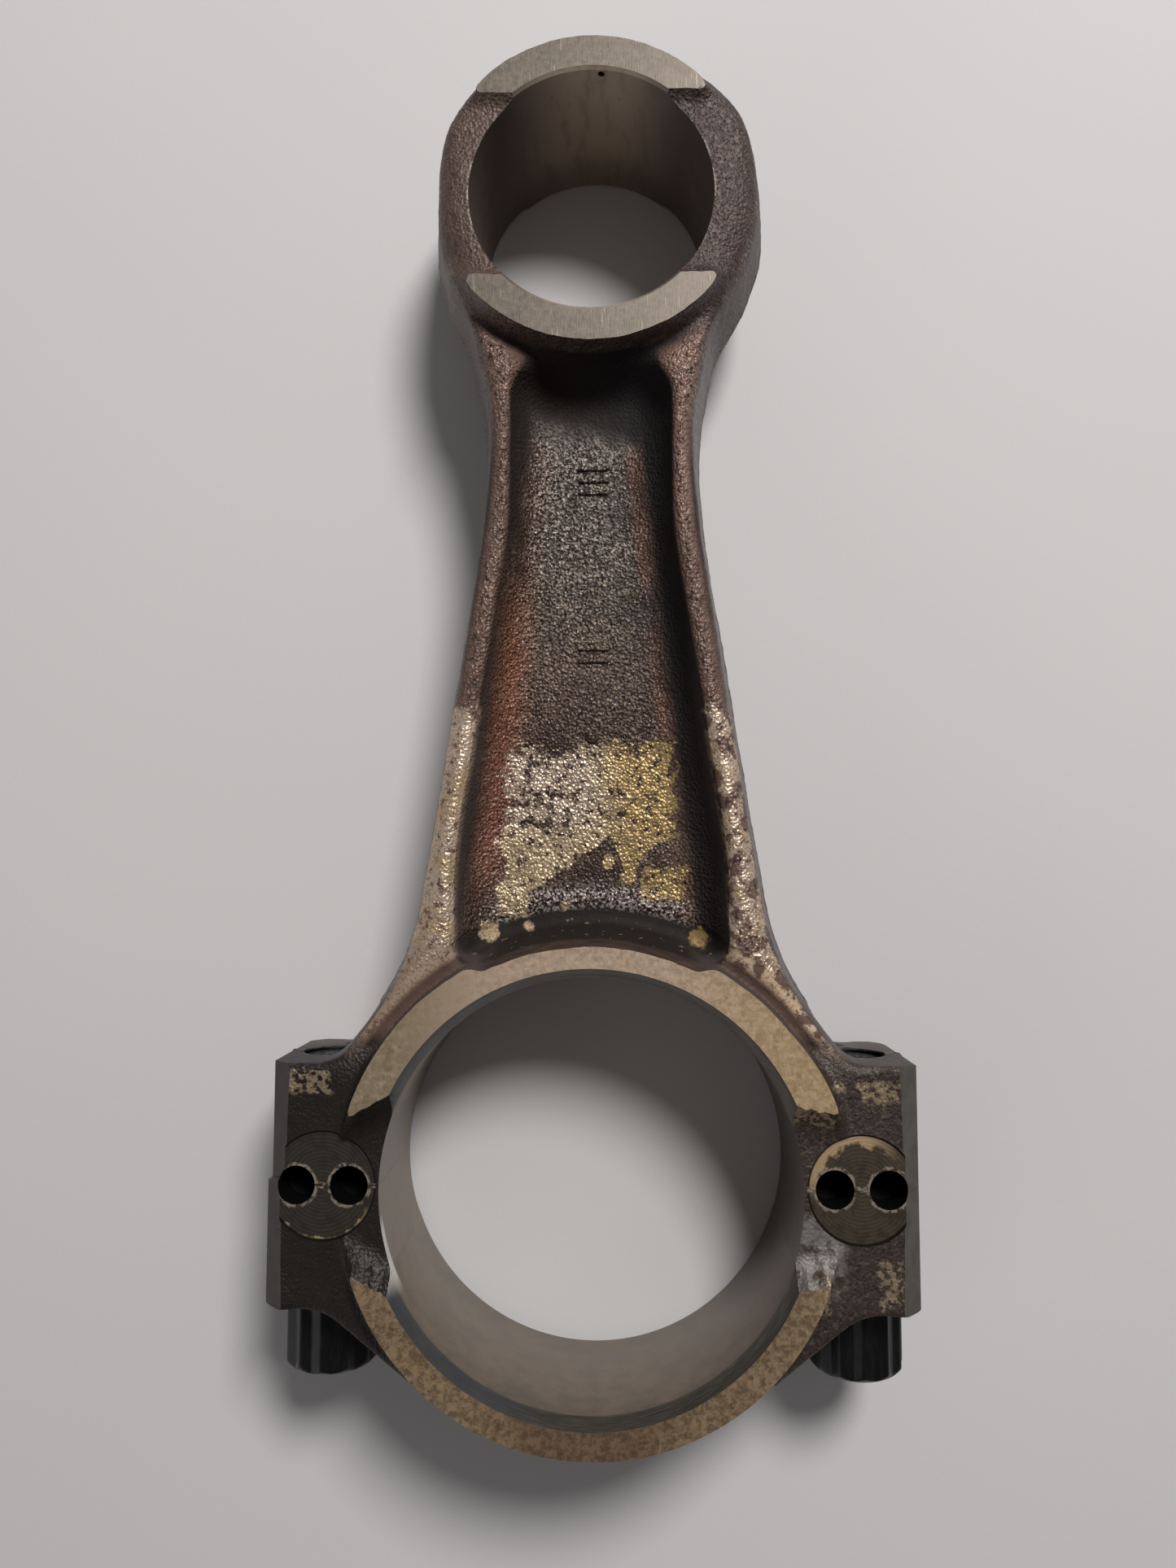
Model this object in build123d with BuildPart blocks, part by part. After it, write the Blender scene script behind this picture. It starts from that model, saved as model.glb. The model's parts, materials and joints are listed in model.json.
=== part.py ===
from build123d import *
from math import atan2, cos, degrees, radians, sin, sqrt, tan
import os

# Connecting rod with a bolted big-end cap, in millimetres.
# The rod lies flat: both bores run along Z and +Y points from the big end to the small end.
# The origin is the centre of the big-end bore, halfway through its thickness.

# --- driving dimensions -------------------------------------------------------------------
CENTRES = 116.0            # between the two bore axes
BIG_BORE_R = 23.8
SMALL_BORE_R = 14.6
HALF_THICK = 11.75         # ground thrust faces, above and below the middle plane
LAND_Z = 10.0              # height of the shank's flanges and of the shoulders
WEB_Z = 3.6                # half thickness of the web at the bottom of the pockets
DRAFT = 8.0                # draft of the forging's outer walls, degrees
POCKET_DRAFT = 16.0

# big end
ROD_RING_R = 28.5          # outer radius of the rod's thrust face
CAP_RING_R = 28.0          # outer radius of the cap's thrust face
MOUTH_R = 24.85            # the bore's mouth is chamfered to this radius
MOUTH_DEPTH = 1.8
MOUTH_FLARE = (MOUTH_R - BIG_BORE_R) / MOUTH_DEPTH  # widening per millimetre
THRUST_END_Y = 9.6         # the thrust faces stop this far from the parting line
SHOULDER_X = 36.9
ROD_SHOULDER_Y = 14.0
CAP_SHOULDER_Y = -13.3
BEVEL = 2.5                # machined along the shoulders' long outer edges
CORNER = 1.0
UNDER_RING_R = 26.0        # the forged recesses run in under the thrust ring to this radius
GUSSET = ((22.0, -8.0), (32.0, -8.0), (32.0, CAP_SHOULDER_Y), (30.6, CAP_SHOULDER_Y), (27.3, -15.2),
          (24.2, -18.4), (19.0, -19.5))
VALLEY_Z = 8.0             # channel between the rod's thrust ring and the ribs
VALLEY_OUTER_R = 31.4      # at the height of the ribs
VALLEY_WALL = 1.8          # width of the channel's sloping outer wall
VALLEY_ANGLES = (31.0, 66.0)

# small end
EYE_R = 20.35              # at the middle plane
CHEEK_HALF_Y = 10.6        # half length of the cheeks between the two thrust pads
CHEEK_Z = 10.8
CHEEK_CURVE = ((15.4, 10.8), (17.9, 9.9), (19.8, 7.4))
CHEEK_FALL = 2.5           # from the curve's end down to the eye's outer wall

# bolts and their holes
BOLT_X = 31.0
BOLT_R = 3.95              # crest of the thread
BOLT_ROOT_R = 3.45
BOLT_SHANK_R = 3.8
BOLT_TIP_Y = 12.0
THREAD_START_Y = 1.5
THREAD_PITCH = 1.05
GROOVE = (0.15, 0.55, 0.95)  # where a V groove starts, is deepest and ends, in pitches
TAPPED_R = 4.02            # crest of the tapped hole
TAPPED_ROOT_R = 4.5
CLEARANCE_R = 4.2          # hole through the cap
ROD_SEAT_R = 5.2           # spot faces around the two ends of the bolt hole
HEAD_SEAT_R = 6.3
HEAD_CORNER_R = 5.52       # corners of the two hexagons of the 12-point head
FLANGE_R = 5.6
FLANGE_H = 1.3
HEAD_H = 9.1
HEAD_CHAMFER = 0.7

# alignment marks across the parting line, on the +Z side
SPOT_X = 30.2
SPOT_Y = 0.4
SPOT_R = 6.1
SPOT_DEPTH = 0.6
MARK_SPACING = 6.0
MARK_R = 2.15
MARK_DEPTH = 4.2

# fracture line between rod and cap: a shallow uneven pattern, single-valued along X
SPLIT_GAP = 0.04
SPLIT_OVERLAP = 2.0        # rod and cap are made this far past the middle, then cut along the line
SPLIT_X = (22.0, 25.2, 27.6, 30.6, 33.8, 36.0, 39.0)
SPLIT_LEFT_Y = (0.65, 0.85, 0.40, 0.70, 0.45, 0.75, 0.60)
SPLIT_RIGHT_Y = (0.15, 0.40, 0.05, 0.35, 0.15, 0.42, 0.18)
REACH = 70.0               # larger than any local feature
OVER = 1.0                 # how far a cutter or a sketch runs past the face that it meets

# right flank of the shank at the middle plane: waist, straight taper, flare to the shoulder
WAIST_X = 13.2
WAIST_R = 36.0             # from the waist up into the small end
LEAN = 9.0                 # the straight stretch leans this many degrees from the Y axis
LEAN_R = 100.0             # from the waist down into the straight stretch
STRAIGHT = 40.5
FLARE_R = 32.5
FLARE_ANGLE = 45.0

# right side of the pocket at the height of the flanges
POCKET_TOP_X = 9.75
POCKET_TOP_Y = 96.6
POCKET_BEND_R = 45.0
POCKET_LOW_X = 15.9
POCKET_HIGH_Y = 80.0       # the side is straight along Y above this
POCKET_LOW_Y = 26.4        # lower outer corner
POCKET_FOOT_ANGLE = 26.3   # half angle of the lower end, which lies under the thrust ring
POCKET_CORNER_R = 5.5
POCKET_FLOOR_R = 2.4

# plain raised marks on the web, one dot and three bars
DOT_Y = 51.8
DOT_R = 0.9
BAR_Y = (78.0, 75.6, 73.2)
BAR_SIZE = (5.0, 0.9)
MARK_RAISE = 0.4


def taper_in(height, angle=DRAFT):
    """How far a drafted wall leans inward over a height."""
    return height * tan(radians(angle))


def split_region(sign):
    """Outline of all that lies on one side of the fracture line: +1 towards +Y, -1 towards -Y."""
    shift = -sign * SPLIT_GAP / 2
    left = [(-x, y + shift) for x, y in zip(reversed(SPLIT_X), reversed(SPLIT_LEFT_Y))]
    right = [(x, y + shift) for x, y in zip(SPLIT_X, SPLIT_RIGHT_Y)]
    far_y = 2 * sign * REACH
    return left + right + [(REACH, right[-1][1]), (REACH, far_y), (-REACH, far_y), (-REACH, left[0][1])]


def axial_plane(x, y):
    """Plane square to a bolt's axis, with its normal towards -Y, the way the bolt leaves."""
    return Plane(origin=(x, y, 0), x_dir=(1, 0, 0), z_dir=(0, -1, 0))


def thread_profile(x, crest, root, y_low, y_high):
    """Half section of a row of V grooves round a bolt's axis, ending in a small cone."""
    points = [(x, y_low), (x + crest, y_low)]
    cone = abs(crest - root)
    turns = int((y_high - cone - y_low) / THREAD_PITCH)
    for turn in range(turns):
        start = y_low + turn * THREAD_PITCH
        for radius, share in zip((crest, root, crest), GROOVE):
            points.append((x + radius, start + share * THREAD_PITCH))
    return points + [(x + crest, y_high - cone), (x + root, y_high), (x, y_high)]


def polar(centre, radius, angle):
    """Point at an angle in degrees on a circle."""
    return (centre[0] + radius * cos(radians(angle)), centre[1] + radius * sin(radians(angle)))


def pocket_half(inset):
    """Right half of the pocket's outline, its walls moved inward by inset."""
    high_centre = (POCKET_TOP_X + POCKET_BEND_R, POCKET_HIGH_Y)
    high_end = polar(high_centre, POCKET_BEND_R + inset, 180 + LEAN)
    # the lean runs on until the second bend brings the side to POCKET_LOW_X
    bend_x = POCKET_BEND_R * (1 - cos(radians(LEAN)))
    run_y = (POCKET_LOW_X - POCKET_TOP_X - 2 * bend_x) / tan(radians(LEAN))
    low_y = POCKET_HIGH_Y - run_y - 2 * POCKET_BEND_R * sin(radians(LEAN))
    low_centre = (POCKET_LOW_X - POCKET_BEND_R, low_y)
    low_start = polar(low_centre, POCKET_BEND_R - inset, LEAN)
    corner = (POCKET_LOW_X - inset, POCKET_LOW_Y + inset)
    foot_r = UNDER_RING_R + inset
    foot = polar((0, 0), foot_r, 90 - POCKET_FOOT_ANGLE)
    corner_r = POCKET_CORNER_R - inset
    top = POCKET_TOP_Y - inset
    side_x = POCKET_TOP_X - inset
    Line((0, top), (0, foot_r))
    CenterArc((0, 0), foot_r, 90, -POCKET_FOOT_ANGLE)
    Line(foot, corner)
    Line(corner, (corner[0], low_centre[1]))
    CenterArc(low_centre, POCKET_BEND_R - inset, 0, LEAN)
    Line(low_start, high_end)
    CenterArc(high_centre, POCKET_BEND_R + inset, 180 + LEAN, -LEAN)
    Line((side_x, POCKET_HIGH_Y), (side_x, top - corner_r))
    CenterArc((side_x - corner_r, top - corner_r), corner_r, 0, 90)
    Line((side_x - corner_r, top), (0, top))


def flank_half(inset):
    """Right half of the rod's outline above its shoulders, its walls moved inward by inset."""
    rise = sqrt((EYE_R + WAIST_R) ** 2 - (WAIST_X + WAIST_R) ** 2)
    waist_y = CENTRES - rise
    meet = degrees(atan2(rise, WAIST_X + WAIST_R))
    lean_centre = (WAIST_X + LEAN_R, waist_y)
    lean_start = polar(lean_centre, LEAN_R + inset, 180 + LEAN)
    lean_end_x = lean_start[0] + STRAIGHT * sin(radians(LEAN))
    lean_end = (lean_end_x, lean_start[1] - STRAIGHT * cos(radians(LEAN)))
    flare_centre = polar(lean_end, FLARE_R + inset, LEAN)
    flare_end = polar(flare_centre, FLARE_R + inset, 180 + FLARE_ANGLE)
    base_y = ROD_SHOULDER_Y - 3.0
    base_x = flare_end[0] + (flare_end[1] - base_y) * tan(radians(FLARE_ANGLE))
    Line((0, CENTRES + EYE_R - inset), (0, 0))
    Line((0, 0), (base_x, 0))
    Line((base_x, 0), (base_x, base_y))
    Line((base_x, base_y), flare_end)
    CenterArc(flare_centre, FLARE_R + inset, 180 + FLARE_ANGLE, LEAN - FLARE_ANGLE)
    Line(lean_end, lean_start)
    CenterArc(lean_centre, LEAN_R + inset, 180 + LEAN, -LEAN)
    CenterArc((WAIST_X + WAIST_R, waist_y), WAIST_R + inset, 180, -meet)
    CenterArc((0, CENTRES), EYE_R - inset, -meet, 90 + meet)


def pocket_levels():
    """Height and inset of the pocket's outline, from above the flanges to the web."""
    round_z = WEB_Z + POCKET_FLOOR_R
    round_inset = taper_in(LAND_Z - round_z, POCKET_DRAFT)
    levels = [(LAND_Z + 3.0, -taper_in(3.0, POCKET_DRAFT)), (round_z, round_inset)]
    for turn in (30, 60, 90):
        drop = POCKET_FLOOR_R * sin(radians(turn))
        lean = POCKET_FLOOR_R * (1 - cos(radians(turn)))
        levels.append((round_z - drop, round_inset + lean))
    return levels


# --- pocket cutter: drafted walls and a rounded foot all round its floor ------------------

with BuildPart() as pocket:
    for height, inset in pocket_levels():
        with BuildSketch(Plane.XY.offset(height)):
            with BuildLine():
                pocket_half(inset)
            make_face()
            mirror(about=Plane.YZ)
    loft(ruled=True)

# --- valley cutter: a channel round the rod's thrust ring, on the right side --------------

start_angle = radians(VALLEY_ANGLES[0])
ray = (cos(start_angle), sin(start_angle), 0)
with BuildPart() as valley:
    with BuildSketch(Plane(origin=(0, 0, 0), x_dir=ray, z_dir=(ray[1], -ray[0], 0))):
        with BuildLine():
            Polyline(
                (UNDER_RING_R, VALLEY_Z),
                (VALLEY_OUTER_R - VALLEY_WALL, VALLEY_Z),
                (VALLEY_OUTER_R, LAND_Z),
                (VALLEY_OUTER_R, HALF_THICK),
                (UNDER_RING_R, HALF_THICK),
                close=True,
            )
        make_face()
    revolve(axis=Axis.Z, revolution_arc=VALLEY_ANGLES[1] - VALLEY_ANGLES[0])

# --- cheek cutter: rounds the small end's right cheek between its thrust pads --------------

with BuildPart() as cheek:
    with BuildSketch(Plane.XZ.offset(-(CENTRES + CHEEK_HALF_Y))):
        with BuildLine():
            Line((SMALL_BORE_R - OVER, CHEEK_Z), CHEEK_CURVE[0])
            ThreePointArc(*CHEEK_CURVE)
            Polyline(
                CHEEK_CURVE[2],
                (EYE_R + OVER, CHEEK_CURVE[2][1] - CHEEK_FALL),
                (EYE_R + OVER, HALF_THICK + OVER),
                (SMALL_BORE_R - OVER, HALF_THICK + OVER),
                (SMALL_BORE_R - OVER, CHEEK_Z),
            )
        make_face()
    extrude(amount=2 * CHEEK_HALF_Y)

# --- bore cutter: both bores with the big end's chamfered mouths --------------------------

with BuildPart() as bores:
    with BuildSketch(Plane.XZ):
        with BuildLine():
            Polyline(
                (0, -HALF_THICK - OVER),
                (MOUTH_R + OVER * MOUTH_FLARE, -HALF_THICK - OVER),
                (BIG_BORE_R, MOUTH_DEPTH - HALF_THICK),
                (BIG_BORE_R, HALF_THICK - MOUTH_DEPTH),
                (MOUTH_R + OVER * MOUTH_FLARE, HALF_THICK + OVER),
                (0, HALF_THICK + OVER),
                close=True,
            )
        make_face()
    revolve(axis=Axis.Z)
    with BuildSketch(Plane.XY.offset(-HALF_THICK - OVER)):
        with Locations((0, CENTRES)):
            Circle(SMALL_BORE_R)
    extrude(amount=2 * (HALF_THICK + OVER))

# --- bevel cutter: the long outer edges of rod and cap, machined in one pass ---------------

with BuildPart() as bevels:
    with BuildSketch(Plane.XZ.offset(-REACH / 2)):
        with BuildLine():
            Polyline(
                (SHOULDER_X - BEVEL, LAND_Z),
                (SHOULDER_X, LAND_Z - BEVEL),
                (SHOULDER_X + BEVEL, LAND_Z - BEVEL),
                (SHOULDER_X + BEVEL, LAND_Z + BEVEL),
                (SHOULDER_X - BEVEL, LAND_Z + BEVEL),
                close=True,
            )
        make_face()
    extrude(amount=REACH)
    mirror(about=Plane.YZ)
    mirror(about=Plane.XY)

# --- mark cutter: round flats on the parting line, each with two blind holes ---------------

with BuildPart() as marks:
    with BuildSketch(Plane.XY.offset(LAND_Z - SPOT_DEPTH)):
        with Locations((-SPOT_X, SPOT_Y), (SPOT_X, SPOT_Y)):
            Circle(SPOT_R)
    extrude(amount=HALF_THICK)
    with BuildSketch(Plane.XY.offset(LAND_Z - SPOT_DEPTH - MARK_DEPTH)):
        with Locations((-SPOT_X, SPOT_Y), (SPOT_X, SPOT_Y)):
            with GridLocations(MARK_SPACING, 0, 2, 1):
                Circle(MARK_R)
    extrude(amount=HALF_THICK)

# --- face cutter: lowers the big end to shoulder height beside the parting line ------------

with BuildPart() as lowered:
    with BuildSketch(Plane.XY.offset(LAND_Z)):
        Rectangle(2 * REACH, 2 * THRUST_END_Y)
    extrude(amount=HALF_THICK)
    mirror(about=Plane.XY)

# --- connecting rod -----------------------------------------------------------------------

with BuildPart() as rod:
    # shank and ribs, drafted from the middle plane
    for height in (0, LAND_Z):
        with BuildSketch(Plane.XY.offset(height)):
            with BuildLine():
                flank_half(taper_in(height))
            make_face()
            mirror(about=Plane.YZ)
    loft(ruled=True)
    # boss of the small end, up to its thrust pads
    with BuildSketch(Plane.XY):
        with Locations((0, CENTRES)):
            Circle(EYE_R)
    with BuildSketch(Plane.XY.offset(HALF_THICK)):
        with Locations((0, CENTRES)):
            Circle(EYE_R - taper_in(HALF_THICK))
    loft(ruled=True)
    # shoulders
    with BuildSketch(Plane.XY):
        with Locations((0, (ROD_SHOULDER_Y - SPLIT_OVERLAP) / 2)):
            Rectangle(2 * SHOULDER_X, ROD_SHOULDER_Y + SPLIT_OVERLAP)
        chamfer(vertices().group_by(Axis.Y)[-1], CORNER)
    extrude(amount=LAND_Z)
    # forged recesses of the upper half
    add(pocket.part, mode=Mode.SUBTRACT)
    for channel in (valley.part, cheek.part):
        add(channel, mode=Mode.SUBTRACT)
        add(channel.mirror(Plane.YZ), mode=Mode.SUBTRACT)
    # ring of the big end, up to its thrust face
    with BuildSketch(Plane.XY):
        Circle(ROD_RING_R + taper_in(HALF_THICK))
    with BuildSketch(Plane.XY.offset(HALF_THICK)):
        Circle(ROD_RING_R)
    loft(ruled=True)
    # marks on the web
    with BuildSketch(Plane.XY.offset(WEB_Z - OVER)):
        with Locations((0, DOT_Y)):
            Circle(DOT_R)
        with Locations(*[(0, y) for y in BAR_Y]):
            Rectangle(*BAR_SIZE)
    extrude(amount=OVER + MARK_RAISE)
    mirror(about=Plane.XY)
    # machining
    for cutter in (bores.part, bevels.part, lowered.part, marks.part):
        add(cutter, mode=Mode.SUBTRACT)
    for x in (-BOLT_X, BOLT_X):
        with BuildSketch(Plane.XY):
            with BuildLine():
                thread_end = ROD_SHOULDER_Y + OVER
                Polyline(*thread_profile(x, TAPPED_ROOT_R, TAPPED_R, -OVER, thread_end), close=True)
            make_face()
        revolve(axis=Axis((x, 0, 0), (0, 1, 0)), mode=Mode.SUBTRACT)
        with BuildSketch(axial_plane(x, ROD_SHOULDER_Y)):
            Circle(ROD_SEAT_R)
        extrude(amount=-REACH / 3, mode=Mode.SUBTRACT)
    with BuildSketch(Plane.XY.offset(-REACH)):
        Polygon(*split_region(-1), align=None)
    extrude(amount=2 * REACH, mode=Mode.SUBTRACT)

rod.part.label = "connecting_rod"

# --- big-end cap ---------------------------------------------------------------------------

with BuildPart() as cap:
    # ring, drafted from the middle plane
    with BuildSketch(Plane.XY):
        Circle(CAP_RING_R + taper_in(HALF_THICK))
    with BuildSketch(Plane.XY.offset(HALF_THICK)):
        Circle(CAP_RING_R)
    loft(ruled=True)
    # shoulders and the gussets that run into the ring
    with BuildSketch(Plane.XY):
        with Locations((0, (CAP_SHOULDER_Y + SPLIT_OVERLAP) / 2)):
            Rectangle(2 * SHOULDER_X, SPLIT_OVERLAP - CAP_SHOULDER_Y)
        chamfer(vertices().group_by(Axis.Y)[0], CORNER)
    extrude(amount=LAND_Z)
    with BuildSketch(Plane.XY):
        Polygon(*GUSSET, align=None)
        mirror(about=Plane.YZ)
    extrude(amount=LAND_Z)
    mirror(about=Plane.XY)
    # machining
    for cutter in (bores.part, bevels.part, lowered.part, marks.part):
        add(cutter, mode=Mode.SUBTRACT)
    for x in (-BOLT_X, BOLT_X):
        with BuildSketch(axial_plane(x, SPLIT_OVERLAP)):
            Circle(CLEARANCE_R)
        extrude(amount=REACH / 2, mode=Mode.SUBTRACT)
        with BuildSketch(axial_plane(x, CAP_SHOULDER_Y)):
            Circle(HEAD_SEAT_R)
        extrude(amount=REACH / 3, mode=Mode.SUBTRACT)
    with BuildSketch(Plane.XY.offset(-REACH)):
        Polygon(*split_region(1), align=None)
    extrude(amount=2 * REACH, mode=Mode.SUBTRACT)

cap.part.label = "big_end_cap"


# --- cap bolts -----------------------------------------------------------------------------

def cap_bolt(x):
    """Twelve-point cap screw on the axis at x, its head under the cap's shoulder."""
    with BuildPart() as bolt:
        with BuildSketch(axial_plane(x, CAP_SHOULDER_Y)):
            Circle(FLANGE_R)
        extrude(amount=FLANGE_H)
        with BuildSketch(axial_plane(x, CAP_SHOULDER_Y)):
            RegularPolygon(HEAD_CORNER_R, 6)
            RegularPolygon(HEAD_CORNER_R, 6, rotation=30)
        extrude(amount=HEAD_H)
        # the head's free end is turned to a cone
        with BuildSketch(Plane.XY):
            with BuildLine():
                end_y = CAP_SHOULDER_Y - HEAD_H
                Polyline(
                    (x + HEAD_CORNER_R - 2 * HEAD_CHAMFER, end_y),
                    (x + HEAD_CORNER_R + HEAD_CHAMFER, end_y + 1.5 * HEAD_CHAMFER),
                    (x + HEAD_CORNER_R + HEAD_CHAMFER, end_y),
                    close=True,
                )
            make_face()
        revolve(axis=Axis((x, 0, 0), (0, 1, 0)), mode=Mode.SUBTRACT)
        with BuildSketch(axial_plane(x, CAP_SHOULDER_Y)):
            Circle(BOLT_SHANK_R)
        extrude(amount=-(THREAD_START_Y - CAP_SHOULDER_Y))
        with BuildSketch(Plane.XY):
            with BuildLine():
                Polyline(*thread_profile(x, BOLT_R, BOLT_ROOT_R, THREAD_START_Y, BOLT_TIP_Y), close=True)
            make_face()
        revolve(axis=Axis((x, 0, 0), (0, 1, 0)))
    return bolt.part


os.makedirs("parts", exist_ok=True)
left_bolt = cap_bolt(-BOLT_X)
left_bolt.label = "left_cap_bolt"
right_bolt = cap_bolt(BOLT_X)
right_bolt.label = "right_cap_bolt"
export_step(rod.part, "parts/connecting_rod.step")
export_step(cap.part, "parts/big_end_cap.step")
export_step(left_bolt, "parts/left_cap_bolt.step")
export_step(right_bolt, "parts/right_cap_bolt.step")
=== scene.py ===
import json
import math

import bmesh
import bpy
import numpy as np
from mathutils import Matrix, Vector, noise


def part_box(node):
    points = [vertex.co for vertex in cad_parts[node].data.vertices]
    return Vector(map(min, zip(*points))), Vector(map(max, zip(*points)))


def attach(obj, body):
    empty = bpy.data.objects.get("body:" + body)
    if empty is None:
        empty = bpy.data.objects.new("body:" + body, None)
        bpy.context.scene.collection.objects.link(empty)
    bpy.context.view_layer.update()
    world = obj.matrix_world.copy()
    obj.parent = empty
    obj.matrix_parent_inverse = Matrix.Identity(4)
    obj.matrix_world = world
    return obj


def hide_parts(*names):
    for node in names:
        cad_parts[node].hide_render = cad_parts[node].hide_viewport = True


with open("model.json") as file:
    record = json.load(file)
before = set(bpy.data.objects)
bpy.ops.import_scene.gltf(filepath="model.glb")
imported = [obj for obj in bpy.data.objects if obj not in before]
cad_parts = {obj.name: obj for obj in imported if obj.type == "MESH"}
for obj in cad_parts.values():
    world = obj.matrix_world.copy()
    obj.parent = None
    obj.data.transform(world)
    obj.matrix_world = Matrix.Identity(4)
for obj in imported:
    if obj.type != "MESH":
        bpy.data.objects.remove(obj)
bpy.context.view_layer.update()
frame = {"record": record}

# Shapes are worked out in millimetres and scaled to metres as their meshes are made.
MM = 0.001
MOUNTS = {mount["name"]: mount for mount in frame["record"]["mounts"]}
ROD_BOX = [[value / MM for value in corner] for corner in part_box("connecting_rod")]
CAP_BOX = [[value / MM for value in corner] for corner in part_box("big_end_cap")]
BIG_R = MOUNTS["big_end_bore"]["dims"]["r_mm"]
SMALL_R = MOUNTS["small_end_bore"]["dims"]["r_mm"]
CENTRES = MOUNTS["small_end_bore"]["pos_m"][1] / MM
HALF_THICK = ROD_BOX[1][2]
SHOULDER_X = ROD_BOX[1][0]
EYE_R = ROD_BOX[1][1] - CENTRES  # at the middle plane
CAP_LOW_Y = CAP_BOX[0][1]
FAR = 60.0  # reaches well past the part

# forging
DRAFT = math.tan(math.radians(8.0))  # lean of the outer walls
LAND_Z = 10.0  # height of the ribs and shoulders
WEB_Z = 3.6
ROD_RING_R = 28.5
CAP_RING_R = -CAP_LOW_Y - DRAFT * HALF_THICK
THRUST_END_Y = 8.0  # lower edge of the ramps at the thrust faces' ends
ROD_SHOULDER_Y = 14.0
CAP_SHOULDER_Y = -13.3
STOCK = 0.8  # left on the forging where it is machined afterwards
CHEEK_Z, CHEEK_R = 10.8, 15.0  # the cheeks are highest up to this radius and curve down outside it
PAD_R = EYE_R - DRAFT * HALF_THICK
PAD_END_Y = 10.7  # thrust pads stop this far from the eye's centre
EYE_SHIFT = 0.55  # the eye's forging lies this far to the right of its bore
EYE_WIDER = 1.022  # and is this much wider than long
PAD_SHIFT = 0.6  # the gaps between its pads lie this far above the bore's centre
SE_CHANNEL_R, SE_CHANNEL_Z = 21.6, 8.7  # channel round the lower thrust pad: outer edge and floor
FOOT_R = 27.3  # rod's thrust face where the pocket runs up to it
VALLEY_R, VALLEY_Z = 30.0, 8.3  # channel outside the rod's thrust face
POCKET_DRAFT = math.tan(math.radians(16.0))
NECK_SWELL = 0.6  # the flanks are this much fuller where they run into the eye
CHEEK_FULLER = 0.75  # and the eye is this much fuller at its upper sides
EYE_TRIM = 5.4  # the eye's left side is trimmed flat this far outside its bore
FLASH = 0.14  # trace of the trimmed flash at the middle plane

# machining
MOUTH_R = 24.85
MOUTH_DEPTH = 1.8
BEVEL = 2.5
SPOT_X, SPOT_Y, SPOT_R, SPOT_Z = 30.2, 0.4, 6.1, 9.4
MARK_X, MARK_R, MARK_DEPTH = 3.0, 2.15, 4.2
BOLT_X = 31.0
TAPPED_R, TAPPED_ROOT_R = 4.02, 4.5
CLEARANCE_R = 4.2
ROD_SEAT_R, HEAD_SEAT_R = 5.2, 6.3
THREAD_PITCH = 1.05
SE_CHAMFER = 0.35
LEFT_INSET = 0.5  # the rod's left side lies this far inside the cap's
CLEAR = 4.0  # cutters reach this far beyond the faces
PIT_X, PIT_Z, PIT_R = 1.2, 10.7, 0.42  # small pit in the eye's wall

# raised marks on the web
BARS_Y = (84.9, 83.4, 81.9, 62.6, 61.1)
BAR_X, BAR_HALF_LENGTH, BAR_R = 0.2, 1.6, 0.32
DOT_Y, DOT_R = 51.8, 0.75
MARK_H = 0.32


# --- outlines --------------------

def arc(centre, radius, start, end, steps=24):
    """Points along a circle's arc, angles in degrees."""
    angles = np.radians(np.linspace(start, end, steps + 1))
    return np.column_stack((centre[0] + radius * np.cos(angles), centre[1] + radius * np.sin(angles)))


def flank_outline():
    """Right half of the eye, shank and ribs at the middle plane, down to the shoulder."""
    waist_x, waist_r = 13.2, 36
    lean, lean_r, straight = 9, 100, 40.5
    flare, flare_r = 45, 32.5
    rise = math.sqrt((EYE_R + waist_r) ** 2 - (waist_x + waist_r) ** 2)
    waist_y = CENTRES - rise
    meet = math.degrees(math.atan2(rise, waist_x + waist_r))
    lean_arc = arc((waist_x + lean_r, waist_y), lean_r, 180, 180 + lean)
    down = Vector((math.sin(math.radians(lean)), -math.cos(math.radians(lean))))
    lean_end = Vector(lean_arc[-1]) + straight * down
    flare_centre = lean_end + flare_r * Vector((-down[1], down[0]))
    flare_arc = arc(flare_centre, flare_r, 180 + lean, 180 + flare)
    base_y = ROD_SHOULDER_Y - 3
    base_x = flare_arc[-1][0] + (flare_arc[-1][1] - base_y) * math.tan(math.radians(flare))
    return np.vstack((
        arc((0, CENTRES), EYE_R, 90, -meet, 48),
        arc((waist_x + waist_r, waist_y), waist_r, 180 - meet, 180),
        lean_arc,
        flare_arc,
        [(base_x, base_y), (base_x, 0), (-FAR, 0), (-FAR, CENTRES + EYE_R)],
    ))


def pocket_outline():
    """Right half of the pocket at the height of the ribs."""
    top_x, top_y, corner_r = 9.75, 97.4, 6
    low_x, low_y = 15.9, 26.2
    bend_r, bend, straight_y = 45, 9, 80
    side = arc((top_x + bend_r, straight_y), bend_r, 180, 180 + bend)
    bend_x = bend_r * (1 - math.cos(math.radians(bend)))
    run_y = (low_x - top_x - 2 * bend_x) / math.tan(math.radians(bend))
    low_centre = (low_x - bend_r, straight_y - run_y - 2 * bend_r * math.sin(math.radians(bend)))
    return np.vstack((
        [(-FAR, top_y)],
        arc((top_x - corner_r, top_y - corner_r), corner_r, 90, 0, 12),
        side,
        arc(low_centre, bend_r, bend, 0),
        [(low_x, low_y), (12, 22), (12, 10), (-FAR, 10)],
    ))


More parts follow.
